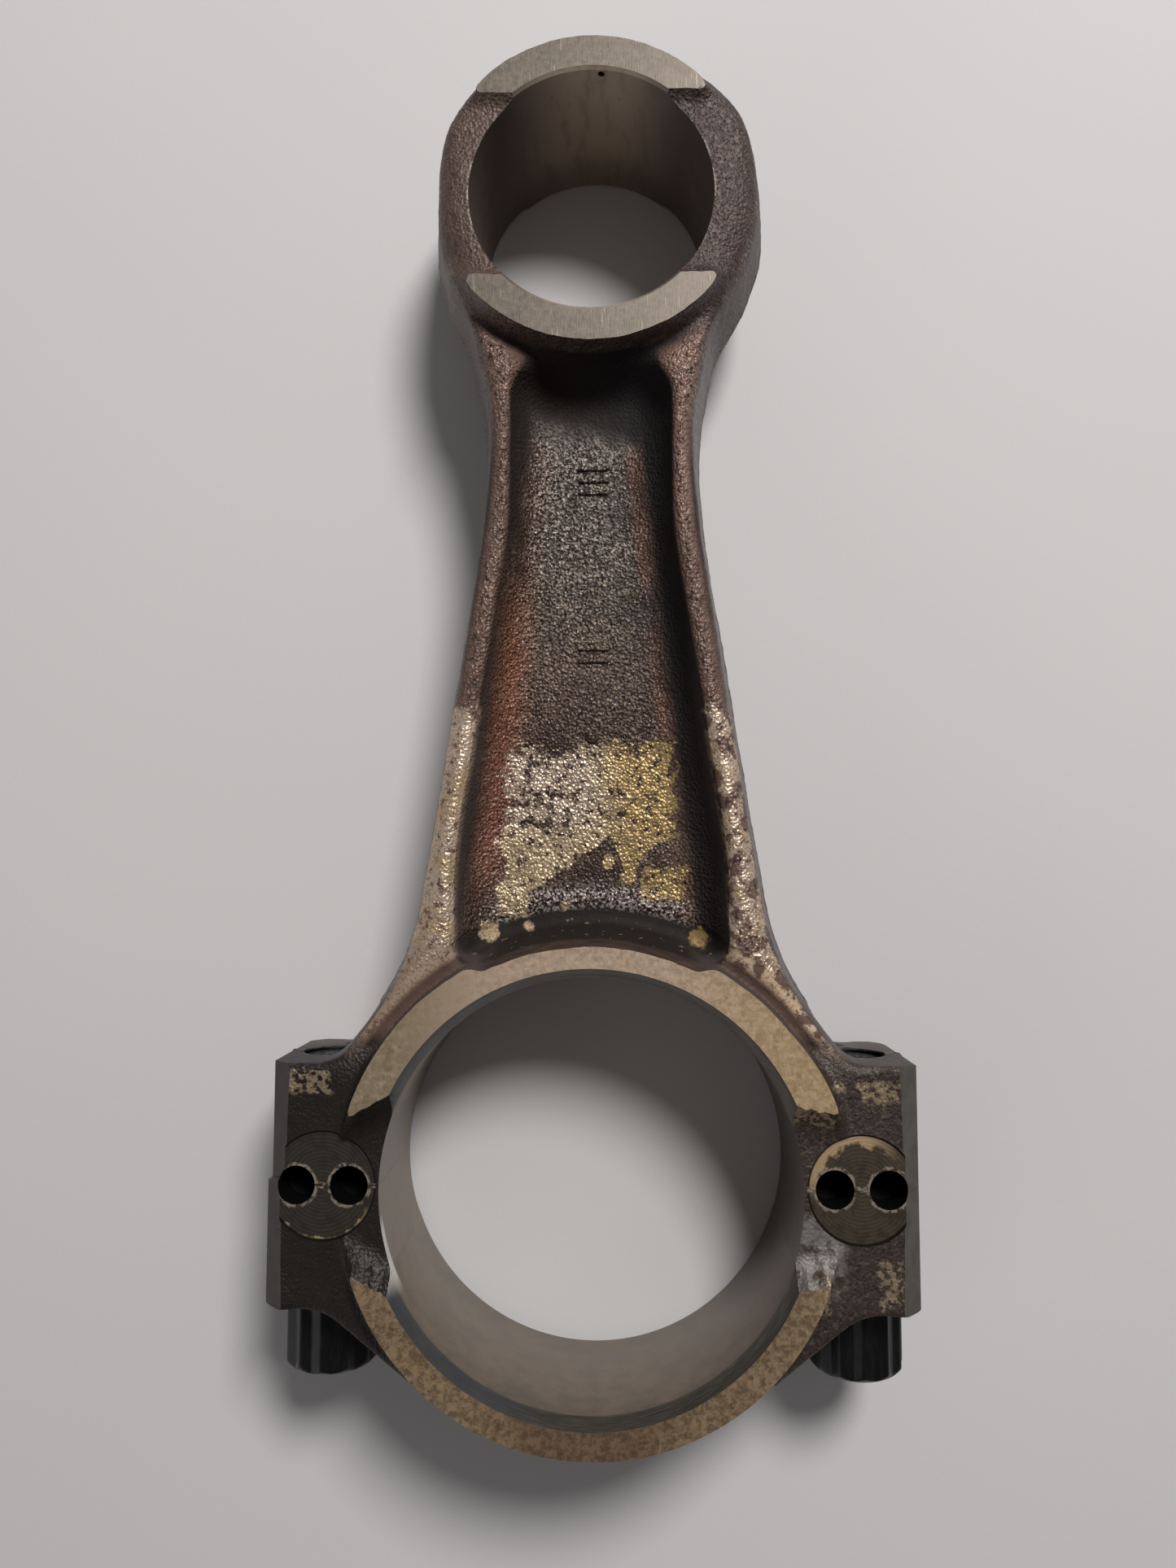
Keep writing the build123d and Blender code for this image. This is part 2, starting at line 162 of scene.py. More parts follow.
def outline_distance(points, x, y):
    """Signed distance to a closed outline, negative inside."""
    shape = np.broadcast(x, y).shape
    best = np.full(shape, np.inf)
    inside = np.zeros(shape, bool)
    for (x0, y0), (x1, y1) in zip(points, np.roll(points, -1, axis=0)):
        ex, ey = x1 - x0, y1 - y0
        wx, wy = x - x0, y - y0
        t = np.clip((wx * ex + wy * ey) / max(ex * ex + ey * ey, 1e-12), 0, 1)
        best = np.minimum(best, (wx - ex * t) ** 2 + (wy - ey * t) ** 2)
        if y0 != y1:
            inside ^= ((y0 <= y) != (y1 <= y)) & (x < x0 + wy * ex / ey)
    return np.where(inside, -1, 1) * np.sqrt(best)


# --- the forging as a field: negative inside, about the distance in mm outside --------------------

def smooth_max(a, b, width):
    """Largest of two fields with their meeting edge rounded over a width."""
    blend = np.clip(0.5 + 0.5 * (a - b) / width, 0, 1)
    return b + (a - b) * blend + width * blend * (1 - blend)


def smooth_min(a, b, width):
    """Smallest of two fields, rounded in the same way."""
    return -smooth_max(-a, -b, width)


def smooth_step(low, high, value):
    """0 below low, 1 above high, and an even curve between."""
    t = np.clip((value - low) / (high - low), 0, 1)
    return t * t * (3 - 2 * t)


FLANK = flank_outline()
POCKET = pocket_outline()


def outer_walls(x, y, az):
    """Outline of shank, shoulders and the cap's gussets, with no top."""
    ax = np.abs(x)
    neck = NECK_SWELL * np.exp(-((y - CENTRES + 20) / 6.5) ** 2)
    flank = smooth_max(outline_distance(FLANK, ax, y) + az * DRAFT - neck, y - CENTRES + 9, 3)
    ends = np.maximum(CAP_SHOULDER_Y - y, y - ROD_SHOULDER_Y)
    shoulder = smooth_max(ax - SHOULDER_X - STOCK, ends, 1.6)
    slope = (ax - 27.9) * 0.62 - (y - CAP_SHOULDER_Y + 1.7) * 0.785
    gusset = np.maximum(np.maximum(slope, ax - 31), np.maximum(20 - ax, y + 8))
    return smooth_min(smooth_min(flank, shoulder, 1.8), gusset, 1.5)


def shank_field(x, y, az):
    """Ribs and shoulders, before the pocket is sunk."""
    # the ribs' edges are rounder than the shoulders'
    edge = 0.7 + 1.7 * smooth_step(15, 24, y)
    return smooth_max(outer_walls(x, y, az), az - LAND_Z, edge)


def pocket_field(x, y, az):
    """Pocket in each face, down to the web, negative inside."""
    walls = outline_distance(POCKET, np.abs(x), y) + (LAND_Z - az) * POCKET_DRAFT
    return smooth_max(walls, WEB_Z - az, 4.5)


def eye_field(x, y, az):
    """Boss of the small end, forged a little to the right of its bore, with bulging cheeks."""
    fuller = CHEEK_FULLER * np.exp(-((y - CENTRES - 11) / 5) ** 2)
    radius = np.hypot((x - EYE_SHIFT) / EYE_WIDER, y - CENTRES) - fuller
    # trimmed flat on the left, where the dies met
    trimmed = smooth_max(radius - EYE_R, -x - SMALL_R - EYE_TRIM, 1.2)
    # the cheeks curve down less beside the upper pad
    curve = 0.11 - 0.085 * smooth_step(0, 9, y - CENTRES)
    cheek = az - CHEEK_Z + curve * np.clip(radius - CHEEK_R, 0, 6) ** 2
    return smooth_max(trimmed + az * DRAFT, cheek, 1.6)


def pad_field(x, y, az):
    """The eye's two thrust pads, raised above its cheeks."""
    height = np.clip(HALF_THICK - az, 0, HALF_THICK - SE_CHANNEL_Z)
    outer = np.hypot(x, y - CENTRES) - PAD_R - height * 0.22
    pad = smooth_max(smooth_max(outer, az - HALF_THICK - STOCK, 0.4), SE_CHANNEL_Z - 3 - az, 0.5)
    end = PAD_END_Y - np.abs(y - CENTRES - PAD_SHIFT) + (az - HALF_THICK) * 0.5
    return smooth_max(pad, end, 2.2)


def ring_field(x, y, az):
    """Raised ring round the big end that carries a thrust face on each half."""
    from_top = np.degrees(np.arctan2(np.abs(x), y))
    # the rod's face is narrower where the pocket runs up to it
    face_r = FOOT_R + (ROD_RING_R - FOOT_R) * smooth_step(25.5, 30, from_top)
    face_r = face_r + 0.45 * smooth_step(50, 66, from_top) * (x > 0)
    face_r = CAP_RING_R + (face_r - CAP_RING_R) * smooth_step(-2, 2, y)
    lean = DRAFT + 0.14 * (1 - smooth_step(25.5, 30, from_top))
    wall = np.hypot(x, y) - face_r - (HALF_THICK - az) * lean
    raised = smooth_max(wall, az - HALF_THICK - STOCK, 0.4)
    # each face runs out in a ragged ramp that reaches further on its outer side
    drop = np.where(x < 0, 0.55 * np.clip(-x - 22, 0, 6) - 0.7, 0.2 * np.clip(x - 22, 0, 6) + 0.3)
    uneven = 0.15 * np.sin(3.9 * x) + 0.1 * np.sin(8.3 * x + 1)
    end = THRUST_END_Y + uneven - drop - np.abs(y) + (az - LAND_Z) * 1.3
    return smooth_max(raised, end * 0.6, 0.6)


def valley_field(x, y, az):
    """Channel between the rod's thrust ring and the ribs, negative inside the channel."""
    angle = np.degrees(np.arctan2(y, np.abs(x)))
    opening = smooth_step(36, 22, angle)
    outer = np.hypot(x, y) - VALLEY_R - 6 * opening + (LAND_Z - az) * 0.8
    floor = VALLEY_Z + (LAND_Z - VALLEY_Z) * opening - az
    far_end = (angle - 66) * 0.5
    return smooth_max(smooth_max(outer, far_end, 1.5), floor, 1.6)


def neck_field(x, y, az):
    """Channel round the lower thrust pad, between it and the top of the shank."""
    outer = np.hypot(x, y - CENTRES) - SE_CHANNEL_R + (LAND_Z - az) * 0.9
    side = smooth_max(outer, y - CENTRES + 12.5, 4)
    return smooth_max(side, SE_CHANNEL_Z - az, 1.6)


def forging_field(points):
    """The whole forging, rod and cap in one, before any machining. points is (x, y, z)."""
    x, y, z = points
    az = np.abs(z)
    body = smooth_max(shank_field(x, y, az), -valley_field(x, y, az), 1.2)
    body = smooth_min(body, eye_field(x, y, az), 2.4)
    sunk = smooth_min(pocket_field(x, y, az), neck_field(x, y, az), 2.5)
    body = smooth_max(body, -sunk, 1.1)
    body = smooth_min(body, pad_field(x, y, az), 0.7)
    body = smooth_min(body, ring_field(x, y, az), 1)
    return body + 0.06 - FLASH * np.exp(-(z / 0.7) ** 2)


# --- meshes --------------------

def add_object(name, data):
    thing = bpy.data.objects.new(name, data)
    bpy.context.scene.collection.objects.link(thing)
    return thing


def new_object(name, verts_mm, faces, material):
    """Mesh object from points in millimetres."""
    mesh = bpy.data.meshes.new(name)
    mesh.from_pydata((np.asarray(verts_mm) * MM).tolist(), [], [list(face) for face in faces])
    mesh.update()
    mesh.materials.append(material)
    return add_object(name, mesh)


def face_outward(thing):
    """Turns all faces of a closed mesh outward."""
    shell = bmesh.new()
    shell.from_mesh(thing.data)
    bmesh.ops.recalc_face_normals(shell, faces=shell.faces)
    shell.to_mesh(thing.data)
    shell.free()
    return thing


def surface_net(field, low, high, cell):
    """Points and quads of a field's zero surface, found on a grid of cubes and moved onto the surface."""
    axes = [np.arange(a, b + cell, cell) for a, b in zip(low, high)]
    value = field(np.meshgrid(*axes, indexing="ij", sparse=True))
    inside = value < 0
    shape = tuple(n - 1 for n in value.shape)
    total = np.zeros(shape + (3,))
    count = np.zeros(shape)
    crossings = []
    for axis in range(3):
        first = [slice(None)] * 3
        second = [slice(None)] * 3
        first[axis] = slice(None, -1)
        second[axis] = slice(1, None)
        a, b = value[tuple(first)], value[tuple(second)]
        where = np.argwhere(inside[tuple(first)] != inside[tuple(second)])
        va, vb = a[tuple(where.T)], b[tuple(where.T)]
        place = where.astype(float)
        place[:, axis] += va / (va - vb)
        across = [i for i in range(3) if i != axis]
        around = []
        for du, dv in ((-1, -1), (0, -1), (0, 0), (-1, 0)):
            owner = where.copy()
            owner[:, across[0]] += du
            owner[:, across[1]] += dv
            owner = np.clip(owner, 0, np.array(shape) - 1)
            np.add.at(total, tuple(owner.T), place)
            np.add.at(count, tuple(owner.T), 1)
            around.append(owner)
        crossings.append((around, va < 0, axis))
    active = count > 0
    number = np.full(shape, -1)
    number[active] = np.arange(active.sum())
    verts = np.array(low) + cell * total[active] / count[active][:, None]
    quads = []
    for around, leaving, axis in crossings:
        ids = np.stack([number[tuple(owner.T)] for owner in around], axis=-1)
        flip = leaving if axis != 1 else ~leaving
        quads.append(np.where(flip[:, None], ids, ids[:, ::-1]))
    return verts, np.vstack(quads)


def onto_surface(field, verts, rounds=3, reach=0.25):
    """Moves points along the field's slope until they lie on its zero surface; also returns the normals."""
    step = 0.02
    for _ in range(rounds):
        value = field(verts.T)
        slope = np.stack([(field((verts + step * unit).T) - value) / step for unit in np.eye(3)], axis=-1)
        size = np.maximum((slope ** 2).sum(axis=-1), 0.05)
        shift = -(value / size)[:, None] * slope
        length = np.linalg.norm(shift, axis=1, keepdims=True)
        verts = verts + shift * np.minimum(1, reach / np.maximum(length, 1e-9))
    return verts, slope / np.linalg.norm(slope, axis=1, keepdims=True)


def relaxed(verts, quads, rounds):
    """Evens out the spacing of a quad mesh's points."""
    edges = np.vstack([quads[:, [i, (i + 1) % 4]] for i in range(4)])
    count = np.bincount(edges.ravel(), minlength=len(verts))[:, None]
    for _ in range(rounds):
        total = np.zeros_like(verts)
        np.add.at(total, edges[:, 0], verts[edges[:, 1]])
        np.add.at(total, edges[:, 1], verts[edges[:, 0]])
        verts = 0.4 * verts + 0.6 * total / count
    return verts


def forged_relief(points):
    """Height of the forging's uneven skin in mm at each point."""
    heights = np.empty(len(points))
    for i, point in enumerate(points):
        place = Vector(point)
        broad = noise.noise(place * 0.22)
        dimples = noise.noise(place * 0.75 + Vector((31, 7, 3)))
        grain = noise.noise(place * 1.9 + Vector((5, 47, 11)))
        heights[i] = 0.1 * broad + 0.06 * dimples + 0.045 * grain
    # the shoulders are smoother than the shank
    return heights * (0.35 + 0.65 * smooth_step(13, 22, points[:, 1]))


def forging(name, low, high, cell, material):
    """The forged blank between two corners, with a closed, slightly uneven skin."""
    def field(points):
        body = forging_field(points)
        for value, least, most in zip(points, low, high):
            body = np.maximum(body, cell + np.maximum(value - most, least - value))
        return body

    verts, quads = surface_net(field, low, high, cell)
    verts = relaxed(verts, quads, 2)
    verts, normals = onto_surface(field, verts)
    verts = verts + normals * forged_relief(verts)[:, None]
    verts[:, 1] = np.clip(verts[:, 1], CAP_LOW_Y, CENTRES + EYE_R)
    return new_object(name, verts, quads, material)


def ringed_solid(name, rings, ends, material):
    """Closed solid through a stack of equal rings of points, with a pole at each end."""
    steps = len(rings[0])
    verts = np.vstack(list(rings) + [ends])
    faces = []
    for level in range(len(rings) - 1):
        a, b = level * steps, (level + 1) * steps
        faces += [(a + i, a + (i + 1) % steps, b + (i + 1) % steps, b + i) for i in range(steps)]
    low, high = len(verts) - 2, len(verts) - 1
    top = (len(rings) - 1) * steps
    faces += [(low, (i + 1) % steps, i) for i in range(steps)]
    faces += [(high, top + i, top + (i + 1) % steps) for i in range(steps)]
    return face_outward(new_object(name, verts, faces, material))


def turned(name, profile, centre, along, material, steps=192):
    """Closed solid of revolution: profile is (radius, height) between its two poles, along Y or Z."""
    angles = np.linspace(0, 2 * math.pi, steps, endpoint=False)
    rings = []
    for radius, height in profile:
        u, v = radius * np.cos(angles), radius * np.sin(angles)
        flat = np.full(steps, float(height))
        ring = (u, v, flat) if along == "Z" else (u, flat, v)
        rings.append(np.column_stack(ring) + centre)
    axis = np.array((0, 0, 1) if along == "Z" else (0, 1, 0))
    ends = [np.array(centre) + axis * profile[0][1], np.array(centre) + axis * profile[-1][1]]
    return ringed_solid(name, rings, ends, material)


def prism(name, section, low, high, material):
    """Closed prism along Y with a section in X and Z."""
    count = len(section)
    verts = [(x, low, z) for x, z in section] + [(x, high, z) for x, z in section]
    faces = [tuple(range(count)), tuple(range(2 * count - 1, count - 1, -1))]
    faces += [(i, i + count, (i + 1) % count + count, (i + 1) % count) for i in range(count)]
    return face_outward(new_object(name, verts, faces, material))


def joined(parts):
    """One object out of several that don't touch, for cutting in one go."""
    shell = bmesh.new()
    for part in parts:
        shell.from_mesh(part.data)
        if part is not parts[0]:
            bpy.data.objects.remove(part)
    shell.to_mesh(parts[0].data)
    shell.free()
    return parts[0]


def cut(target, cutter, operation="DIFFERENCE"):
    """Subtracts or adds the cutter; the new faces keep the cutter's material."""
    change = target.modifiers.new("cut", "BOOLEAN")
    change.object = cutter
    change.operation = operation
    change.solver = "MANIFOLD"
    change.material_mode = "TRANSFER"
    graph = bpy.context.evaluated_depsgraph_get()
    result = bpy.data.meshes.new_from_object(target.evaluated_get(graph), depsgraph=graph)
    target.modifiers.clear()
    target.data = result
    bpy.data.objects.remove(cutter)


# --- materials --------------------

class Value:
    """A node's output inside a material, for use in ordinary arithmetic."""

    def __init__(self, paint, socket):
        self.paint = paint
        self.socket = socket

    def __add__(self, other):
        return self.paint.math("ADD", self, other)

    def __radd__(self, other):
        return self.paint.math("ADD", other, self)

    def __sub__(self, other):
        return self.paint.math("SUBTRACT", self, other)

    def __rsub__(self, other):
        return self.paint.math("SUBTRACT", other, self)

    def __mul__(self, other):
        return self.paint.math("MULTIPLY", self, other)

    def __rmul__(self, other):
        return self.paint.math("MULTIPLY", other, self)

    def __abs__(self):
        return self.paint.math("ABSOLUTE", self)


class Paint:
    """A material whose nodes are added by short calls that return the new node's output.

    Places are object coordinates in millimetres, so every pattern stays on its piece.
    """

    def __init__(self, name):
        self.material = bpy.data.materials.new(name)
        self.material.use_nodes = True
        self.tree = self.material.node_tree
        self.shader = self.tree.nodes["Principled BSDF"]
        place = self.coordinates("Object")
        self.at = self.vector("MULTIPLY", place, (1 / MM,) * 3)
        self.x, self.y, self.z = self.split(self.at)
        self.nz = self.split(self.coordinates("Normal"))[2]
        self.colour = None

    def coordinates(self, kind):
        return Value(self, self.tree.nodes.new("ShaderNodeTexCoord").outputs[kind])

    def put(self, socket, value):
        """Links a value to a socket, or sets a constant on it."""
        if isinstance(value, Value):
            self.tree.links.new(value.socket, socket)
        else:
            socket.default_value = value

    def put_colour(self, socket, value):
        self.put(socket, value if isinstance(value, Value) else (*value, 1))

    def preset(self, node, **values):
        """Sets a node's inputs by name, with _ for a space."""
        for name, value in values.items():
            node.inputs[name.replace("_", " ")].default_value = value

    def split(self, vector):
        node = self.tree.nodes.new("ShaderNodeSeparateXYZ")
        self.put(node.inputs[0], vector)
        return [Value(self, output) for output in node.outputs]

    def operate(self, kind, operation, a, b):
        node = self.tree.nodes.new(kind)
        node.operation = operation
        self.put(node.inputs[0], a)
        self.put(node.inputs[1], b)
        return Value(self, node.outputs[0])

    def vector(self, operation, a, b):
        return self.operate("ShaderNodeVectorMath", operation, a, b)

    def math(self, operation, a, b=0):
        return self.operate("ShaderNodeMath", operation, a, b)

    def step(self, low, high, value):
        """0 below low, 1 above high; low above high turns it round."""
        node = self.tree.nodes.new("ShaderNodeMapRange")
        node.interpolation_type = "SMOOTHSTEP"
        self.put(node.inputs["Value"], value)
        self.preset(node, From_Min=min(low, high), From_Max=max(low, high),
                    To_Min=float(low > high), To_Max=float(low < high))
        return Value(self, node.outputs[0])

    def noise(self, per_mm, detail=3, stretch=(1, 1, 1), shift=0, rough=0.55):
        """Noise from 0 to 1 with this many features per millimetre."""
        node = self.tree.nodes.new("ShaderNodeTexNoise")
        place = self.vector("MULTIPLY", self.at, stretch)
        self.put(node.inputs["Vector"], self.vector("ADD", place, (shift, 1.7 * shift, 0.6 * shift)))
        self.preset(node, Scale=per_mm, Detail=detail, Roughness=rough)
        return Value(self, node.outputs["Fac"])

    def cells(self, per_mm, shift=0):
        """Distance to the nearest of scattered points, soft edged."""
        node = self.tree.nodes.new("ShaderNodeTexVoronoi")
        node.feature = "SMOOTH_F1"
        self.put(node.inputs["Vector"], self.vector("ADD", self.at, (shift, shift, shift)))
        self.preset(node, Scale=per_mm, Smoothness=0.6)
        return Value(self, node.outputs["Distance"])

    def mix(self, share, a, b):
        """Colour a where share is 0 and b where it is 1."""
        node = self.tree.nodes.new("ShaderNodeMix")
        node.data_type = "RGBA"
        self.put(node.inputs[0], share)
        self.put_colour(node.inputs[6], a)
        self.put_colour(node.inputs[7], b)
        return Value(self, node.outputs[2])

    def coat(self, share, colour):
        """Lays one more colour over what is painted so far."""
        self.colour = self.mix(share, self.colour, colour)

    def blend(self, share, a, b):
        """Number a where share is 0 and b where it is 1."""
        return self.math("SUBTRACT", 1, share) * a + share * b

    def both(self, *masks):
        """Where all masks are 1."""
        result = masks[0]
        for mask in masks[1:]:
            result = result * mask
        return result

    def either(self, *masks):
        """Where any mask is 1."""
        result = masks[0]
        for mask in masks[1:]:
            result = self.math("MAXIMUM", result, mask)
        return result

    def away(self, x, y):
        """Distance from the axis through (x, y), along Z."""
        dx, dy = self.x - x, self.y - y
        return self.math("SQRT", dx * dx + dy * dy)

    def patch(self, low, high, ragged, edge, per_mm, shift):
        """Ragged rectangle between two corners in X and Y."""
        sides = []
        for axis, least, most in zip((self.x, self.y), low, high):
            off = abs(axis - (least + most) / 2)
            sides.append(off - (most - least) / 2)
        return self.ragged_mask(self.math("MAXIMUM", *sides), ragged, edge, per_mm, shift)

    def spot(self, x, y, radius, ragged, edge, per_mm, shift):
        """Ragged disc."""
        return self.ragged_mask(self.away(x, y) - radius, ragged, edge, per_mm, shift)

    def ragged_mask(self, distance, ragged, edge, per_mm, shift):
        """Mask where a distance is below 0; its border wanders by ragged and is soft over edge."""
        wobble = self.noise(per_mm, 5, shift=shift, rough=0.65) - 0.5
        distance = distance + wobble * (2 * ragged)
        return self.step(edge, -edge, distance)

    def relief(self, *layers):
        """Bump from layers of (height from 0 to 1, depth in mm)."""
        normal = None
        for height, depth in layers:
            node = self.tree.nodes.new("ShaderNodeBump")
            self.preset(node, Strength=1, Distance=depth * MM)
            self.put(node.inputs["Height"], height)
            if normal:
                self.put(node.inputs["Normal"], normal)
            normal = Value(self, node.outputs["Normal"])
        self.put(self.shader.inputs["Normal"], normal)

    def finish(self, roughness, metallic=0, specular=0.5):
        """Gives the shader the painted colour and the rest, and returns the material."""
        self.put_colour(self.shader.inputs["Base Color"], self.colour)
        self.put(self.shader.inputs["Roughness"], roughness)
        self.put(self.shader.inputs["Metallic"], metallic)
        self.shader.inputs["Specular IOR Level"].default_value = specular
        return self.material


def forged_skin():
    """Dark brown forging scale with a leathery grain, worn to bright metal and gold in places."""
    p = Paint("forged_skin")
    grain = p.noise(3.1, 2, shift=3)
    pebble = p.cells(2.9)
    broad = p.noise(0.11, 4, shift=11)
    az, ax = abs(p.z), abs(p.x)
    up = p.step(0.1, 0.6, abs(p.nz))
    front = p.step(-1, 1, p.z)
    right = p.step(-4, 4, p.x)
    sunk = p.step(9.5, 8.6, az)
    big_end = p.step(17, 13.5, p.y)

    p.colour = p.mix(p.step(0.38, 0.64, broad), (0.062, 0.04, 0.032), (0.105, 0.068, 0.054))
    # the web is greyer in its upper half and redder below
    web = p.both(sunk, p.step(10.5, 8, ax))
    p.coat(p.both(web, p.step(58, 70, p.y)), (0.062, 0.044, 0.034))
    p.coat(p.both(web, p.step(62, 50, p.y)), (0.05, 0.025, 0.018))
    eye = p.step(97, 103, p.y)
    # painted light: the eye is painted lighter on its left and darker on its right, to even out how the
    # light falls on its two sides
    p.coat(eye * 0.8, p.mix(right, (0.13, 0.085, 0.066), (0.066, 0.043, 0.036)))
    # copper tint on the pocket's left wall, a trace of it on the right of the web
    outward = ax + (p.y - 88) * 0.113
    waver = (p.noise(0.25, shift=23) - 0.5) * 5
    inside = p.both(p.step(9.85, 9.2, az), p.step(29, 31, p.away(0, 0)),
        p.step(12, 11, outward), front, p.step(103, 100, p.y))
    on_left = 1 - right
    brown = p.both(inside, on_left, p.step(3.8, 5.4, outward), p.step(91, 84, p.y), p.step(60, 68, p.y))
    ragged = outward + (grain - 0.5) * 2.4
    copper = p.both(inside, on_left, p.step(3, 6.6, ragged), p.step(9.6, 6.6, ragged),
        p.step(75, 60, p.y + waver), p.step(30, 38, p.y))
    trace = p.both(inside, right, p.step(3, 4.6, outward), p.step(6.6, 5.6, outward),
        p.step(0.36, 0.56, p.noise(0.09, 2, shift=3)), p.step(89, 86, p.y + waver))
    p.coat(brown * 0.8, (0.085, 0.046, 0.032))
    tone = p.mix(p.step(58, 42, p.y), (0.245, 0.092, 0.05), (0.215, 0.08, 0.052))
    p.coat(copper, tone)
    p.coat(trace * 0.7, (0.165, 0.074, 0.047))
    # soot and painted shade in the pocket's top, in the channel round the lower pad, beside the pocket's
    # left edge and along its right wall, darkest on the right
    above = p.y + (waver + p.x * 0.2)
    soot_and_shade = p.either(
        p.both(inside, p.step(86.5, 93, above + grain * 3)),
        p.both(p.step(18, 19.5, p.away(0, CENTRES)), p.step(24, 21, p.away(0, CENTRES)),
            p.step(10.6, 7.6, ax), p.step(104, 101, p.y)),
        p.both(p.step(94, 97, p.y), p.step(105, 101, p.y), p.step(9.6, 8.9, az), p.step(15, 9, ax)),
        p.both(inside, right, p.step(4.6, 6.8, ragged)),
        p.both(inside, p.step(6.6, 8.2, outward), p.step(66, 78, p.y)),
        p.both(inside, p.step(7.6, 9.4, outward)))
    soot_and_shade_tint = p.mix(right, (0.02, 0.012, 0.009), (0.009, 0.006, 0.006))
    p.coat(p.both(soot_and_shade, front) * 0.95, soot_and_shade_tint)
    valley = p.both(p.step(32.4, 31.2, p.away(0, 0)), p.step(14, 17, p.y), front)
    p.coat(valley * 0.9, (0.012, 0.008, 0.006))
    flecks = p.both(valley, p.step(0.645, 0.68, p.noise(1, 4, shift=91, rough=0.6)))
    p.coat(flecks * 0.7, (0.3, 0.22, 0.12))
    # lilac-grey outer walls
    wall = p.both(1 - up, p.either(p.step(10.5, 13.5, ax), p.step(120, 128, p.y)))
    p.coat(wall * 0.6, (0.13, 0.106, 0.106))
    # ribs and the flats beside the pocket's top are warmer
    ribs = p.both(up, p.step(8.6, 9.6, az), p.step(15, 18, p.y), p.step(104, 98, p.y))
    rib_tone = p.mix(p.both(right, p.step(74, 80, p.y)), (0.205, 0.12, 0.09), (0.29, 0.17, 0.128))
    p.coat(ribs * 0.75, rib_tone)
    # oily black shoulders; painted light makes them browner and mottled on the right, where they catch the
    # light, and near black on the left
    black = p.mix(right, (0.01, 0.006, 0.004), (0.05, 0.034, 0.026))
    mottle_and_sheen = p.both(p.step(0.5, 0.66, p.noise(1.5, 4, shift=14)), right)
    black = p.mix(mottle_and_sheen, black, (0.105, 0.075, 0.06))
    black = p.mix(p.both(p.step(0.5, 0.36, grain), right), black, (0.022, 0.014, 0.011))
    p.coat(p.both(big_end, p.step(-9, 2, p.z)) * 0.93, black)
    # painted highlights on the grain's crests and streaks: lengthwise on the ribs, leathery in the pocket,
    # fainter on the eye
    clean = 1 - p.either(soot_and_shade, big_end, valley)
    streaks = p.noise(1.3, stretch=(1.8, 0.8, 1), shift=77)
    leather = p.noise(1.35, shift=29, rough=0.6)
    glint_strength = p.both(p.step(6.5, 1.5, abs(p.x + 2.2)), p.step(52, 80, p.y))
    along_left = p.both(on_left, p.step(3, 4.6, outward), p.step(7, 5.4, outward), p.step(56, 66, p.y))
    glint_strength = glint_strength + p.step(0.34, 0.6, p.noise(0.22, shift=83)) * 0.75
    glint_strength = glint_strength + along_left * 0.6
    pocket_only = 1 - wall * 0.85
    # painted highlight: the grain's crests in the pocket are painted light, strongest left of the middle
    # and along the left wall
    crest = p.both(p.step(0.49, 0.6, p.blend(0.25, grain, leather)), clean, sunk, pocket_only,
        p.math("MINIMUM", glint_strength, 1))
    # painted highlight: lengthwise streaks on the ribs and the eye
    shine = p.both(p.step(0.5, 0.66, streaks), clean, 1 - sunk)
    highlight_tone = p.mix(p.step(60, 80, p.y), (0.36, 0.255, 0.17), (0.6, 0.49, 0.41))
    p.coat(crest * 0.54, highlight_tone)
    p.coat(shine * p.blend(eye, 0.34, 0.16), (0.34, 0.235, 0.185))
    pores = p.both(p.step(0.47, 0.38, p.blend(sunk, streaks, grain)), clean)
    p.coat(pores * p.blend(eye, 0.8, 0.35), (0.02, 0.012, 0.009))
    # glints where the web rises to the ring
    glints = p.both(p.step(31, 31.8, p.away(0, 0)), p.step(35, 33, p.away(0, 0)),
        p.step(13, 10.5, ax), sunk, p.step(0.49, 0.57, grain), front)
    p.coat(glints * 0.8, (0.5, 0.43, 0.39))

    # ribs worn to beige metal up to about half way, with black pits
    pits = p.step(0.46, 0.4, p.noise(0.9, 6, shift=31, rough=0.75))
    pits = p.either(pits, p.both(right, p.step(0.5, 0.44, p.noise(0.45, 4, shift=47))))
    start = p.y + p.noise(0.5, 4, shift=2) * 8
    bare = p.both(up, p.step(7.6, 8.9, az), p.step(10.2, 11.8, ax), p.step(59.2, 57.4, start),
        p.step(29.8, 30.6, p.away(0, 0)), p.step(14, 18.5, p.y), 1 - pits)
    metal = p.mix(p.step(0.45, 0.62, p.noise(0.3, shift=17)), (0.7, 0.54, 0.405), (0.66, 0.48, 0.3))
    metal = p.mix(p.step(0.48, 0.36, grain) * 0.7, metal, (0.3, 0.21, 0.155))
    low_left = p.both(on_left, p.step(32, 22, p.y + waver))
    p.coat(bare * p.blend(low_left, 0.94, 0.5), metal)

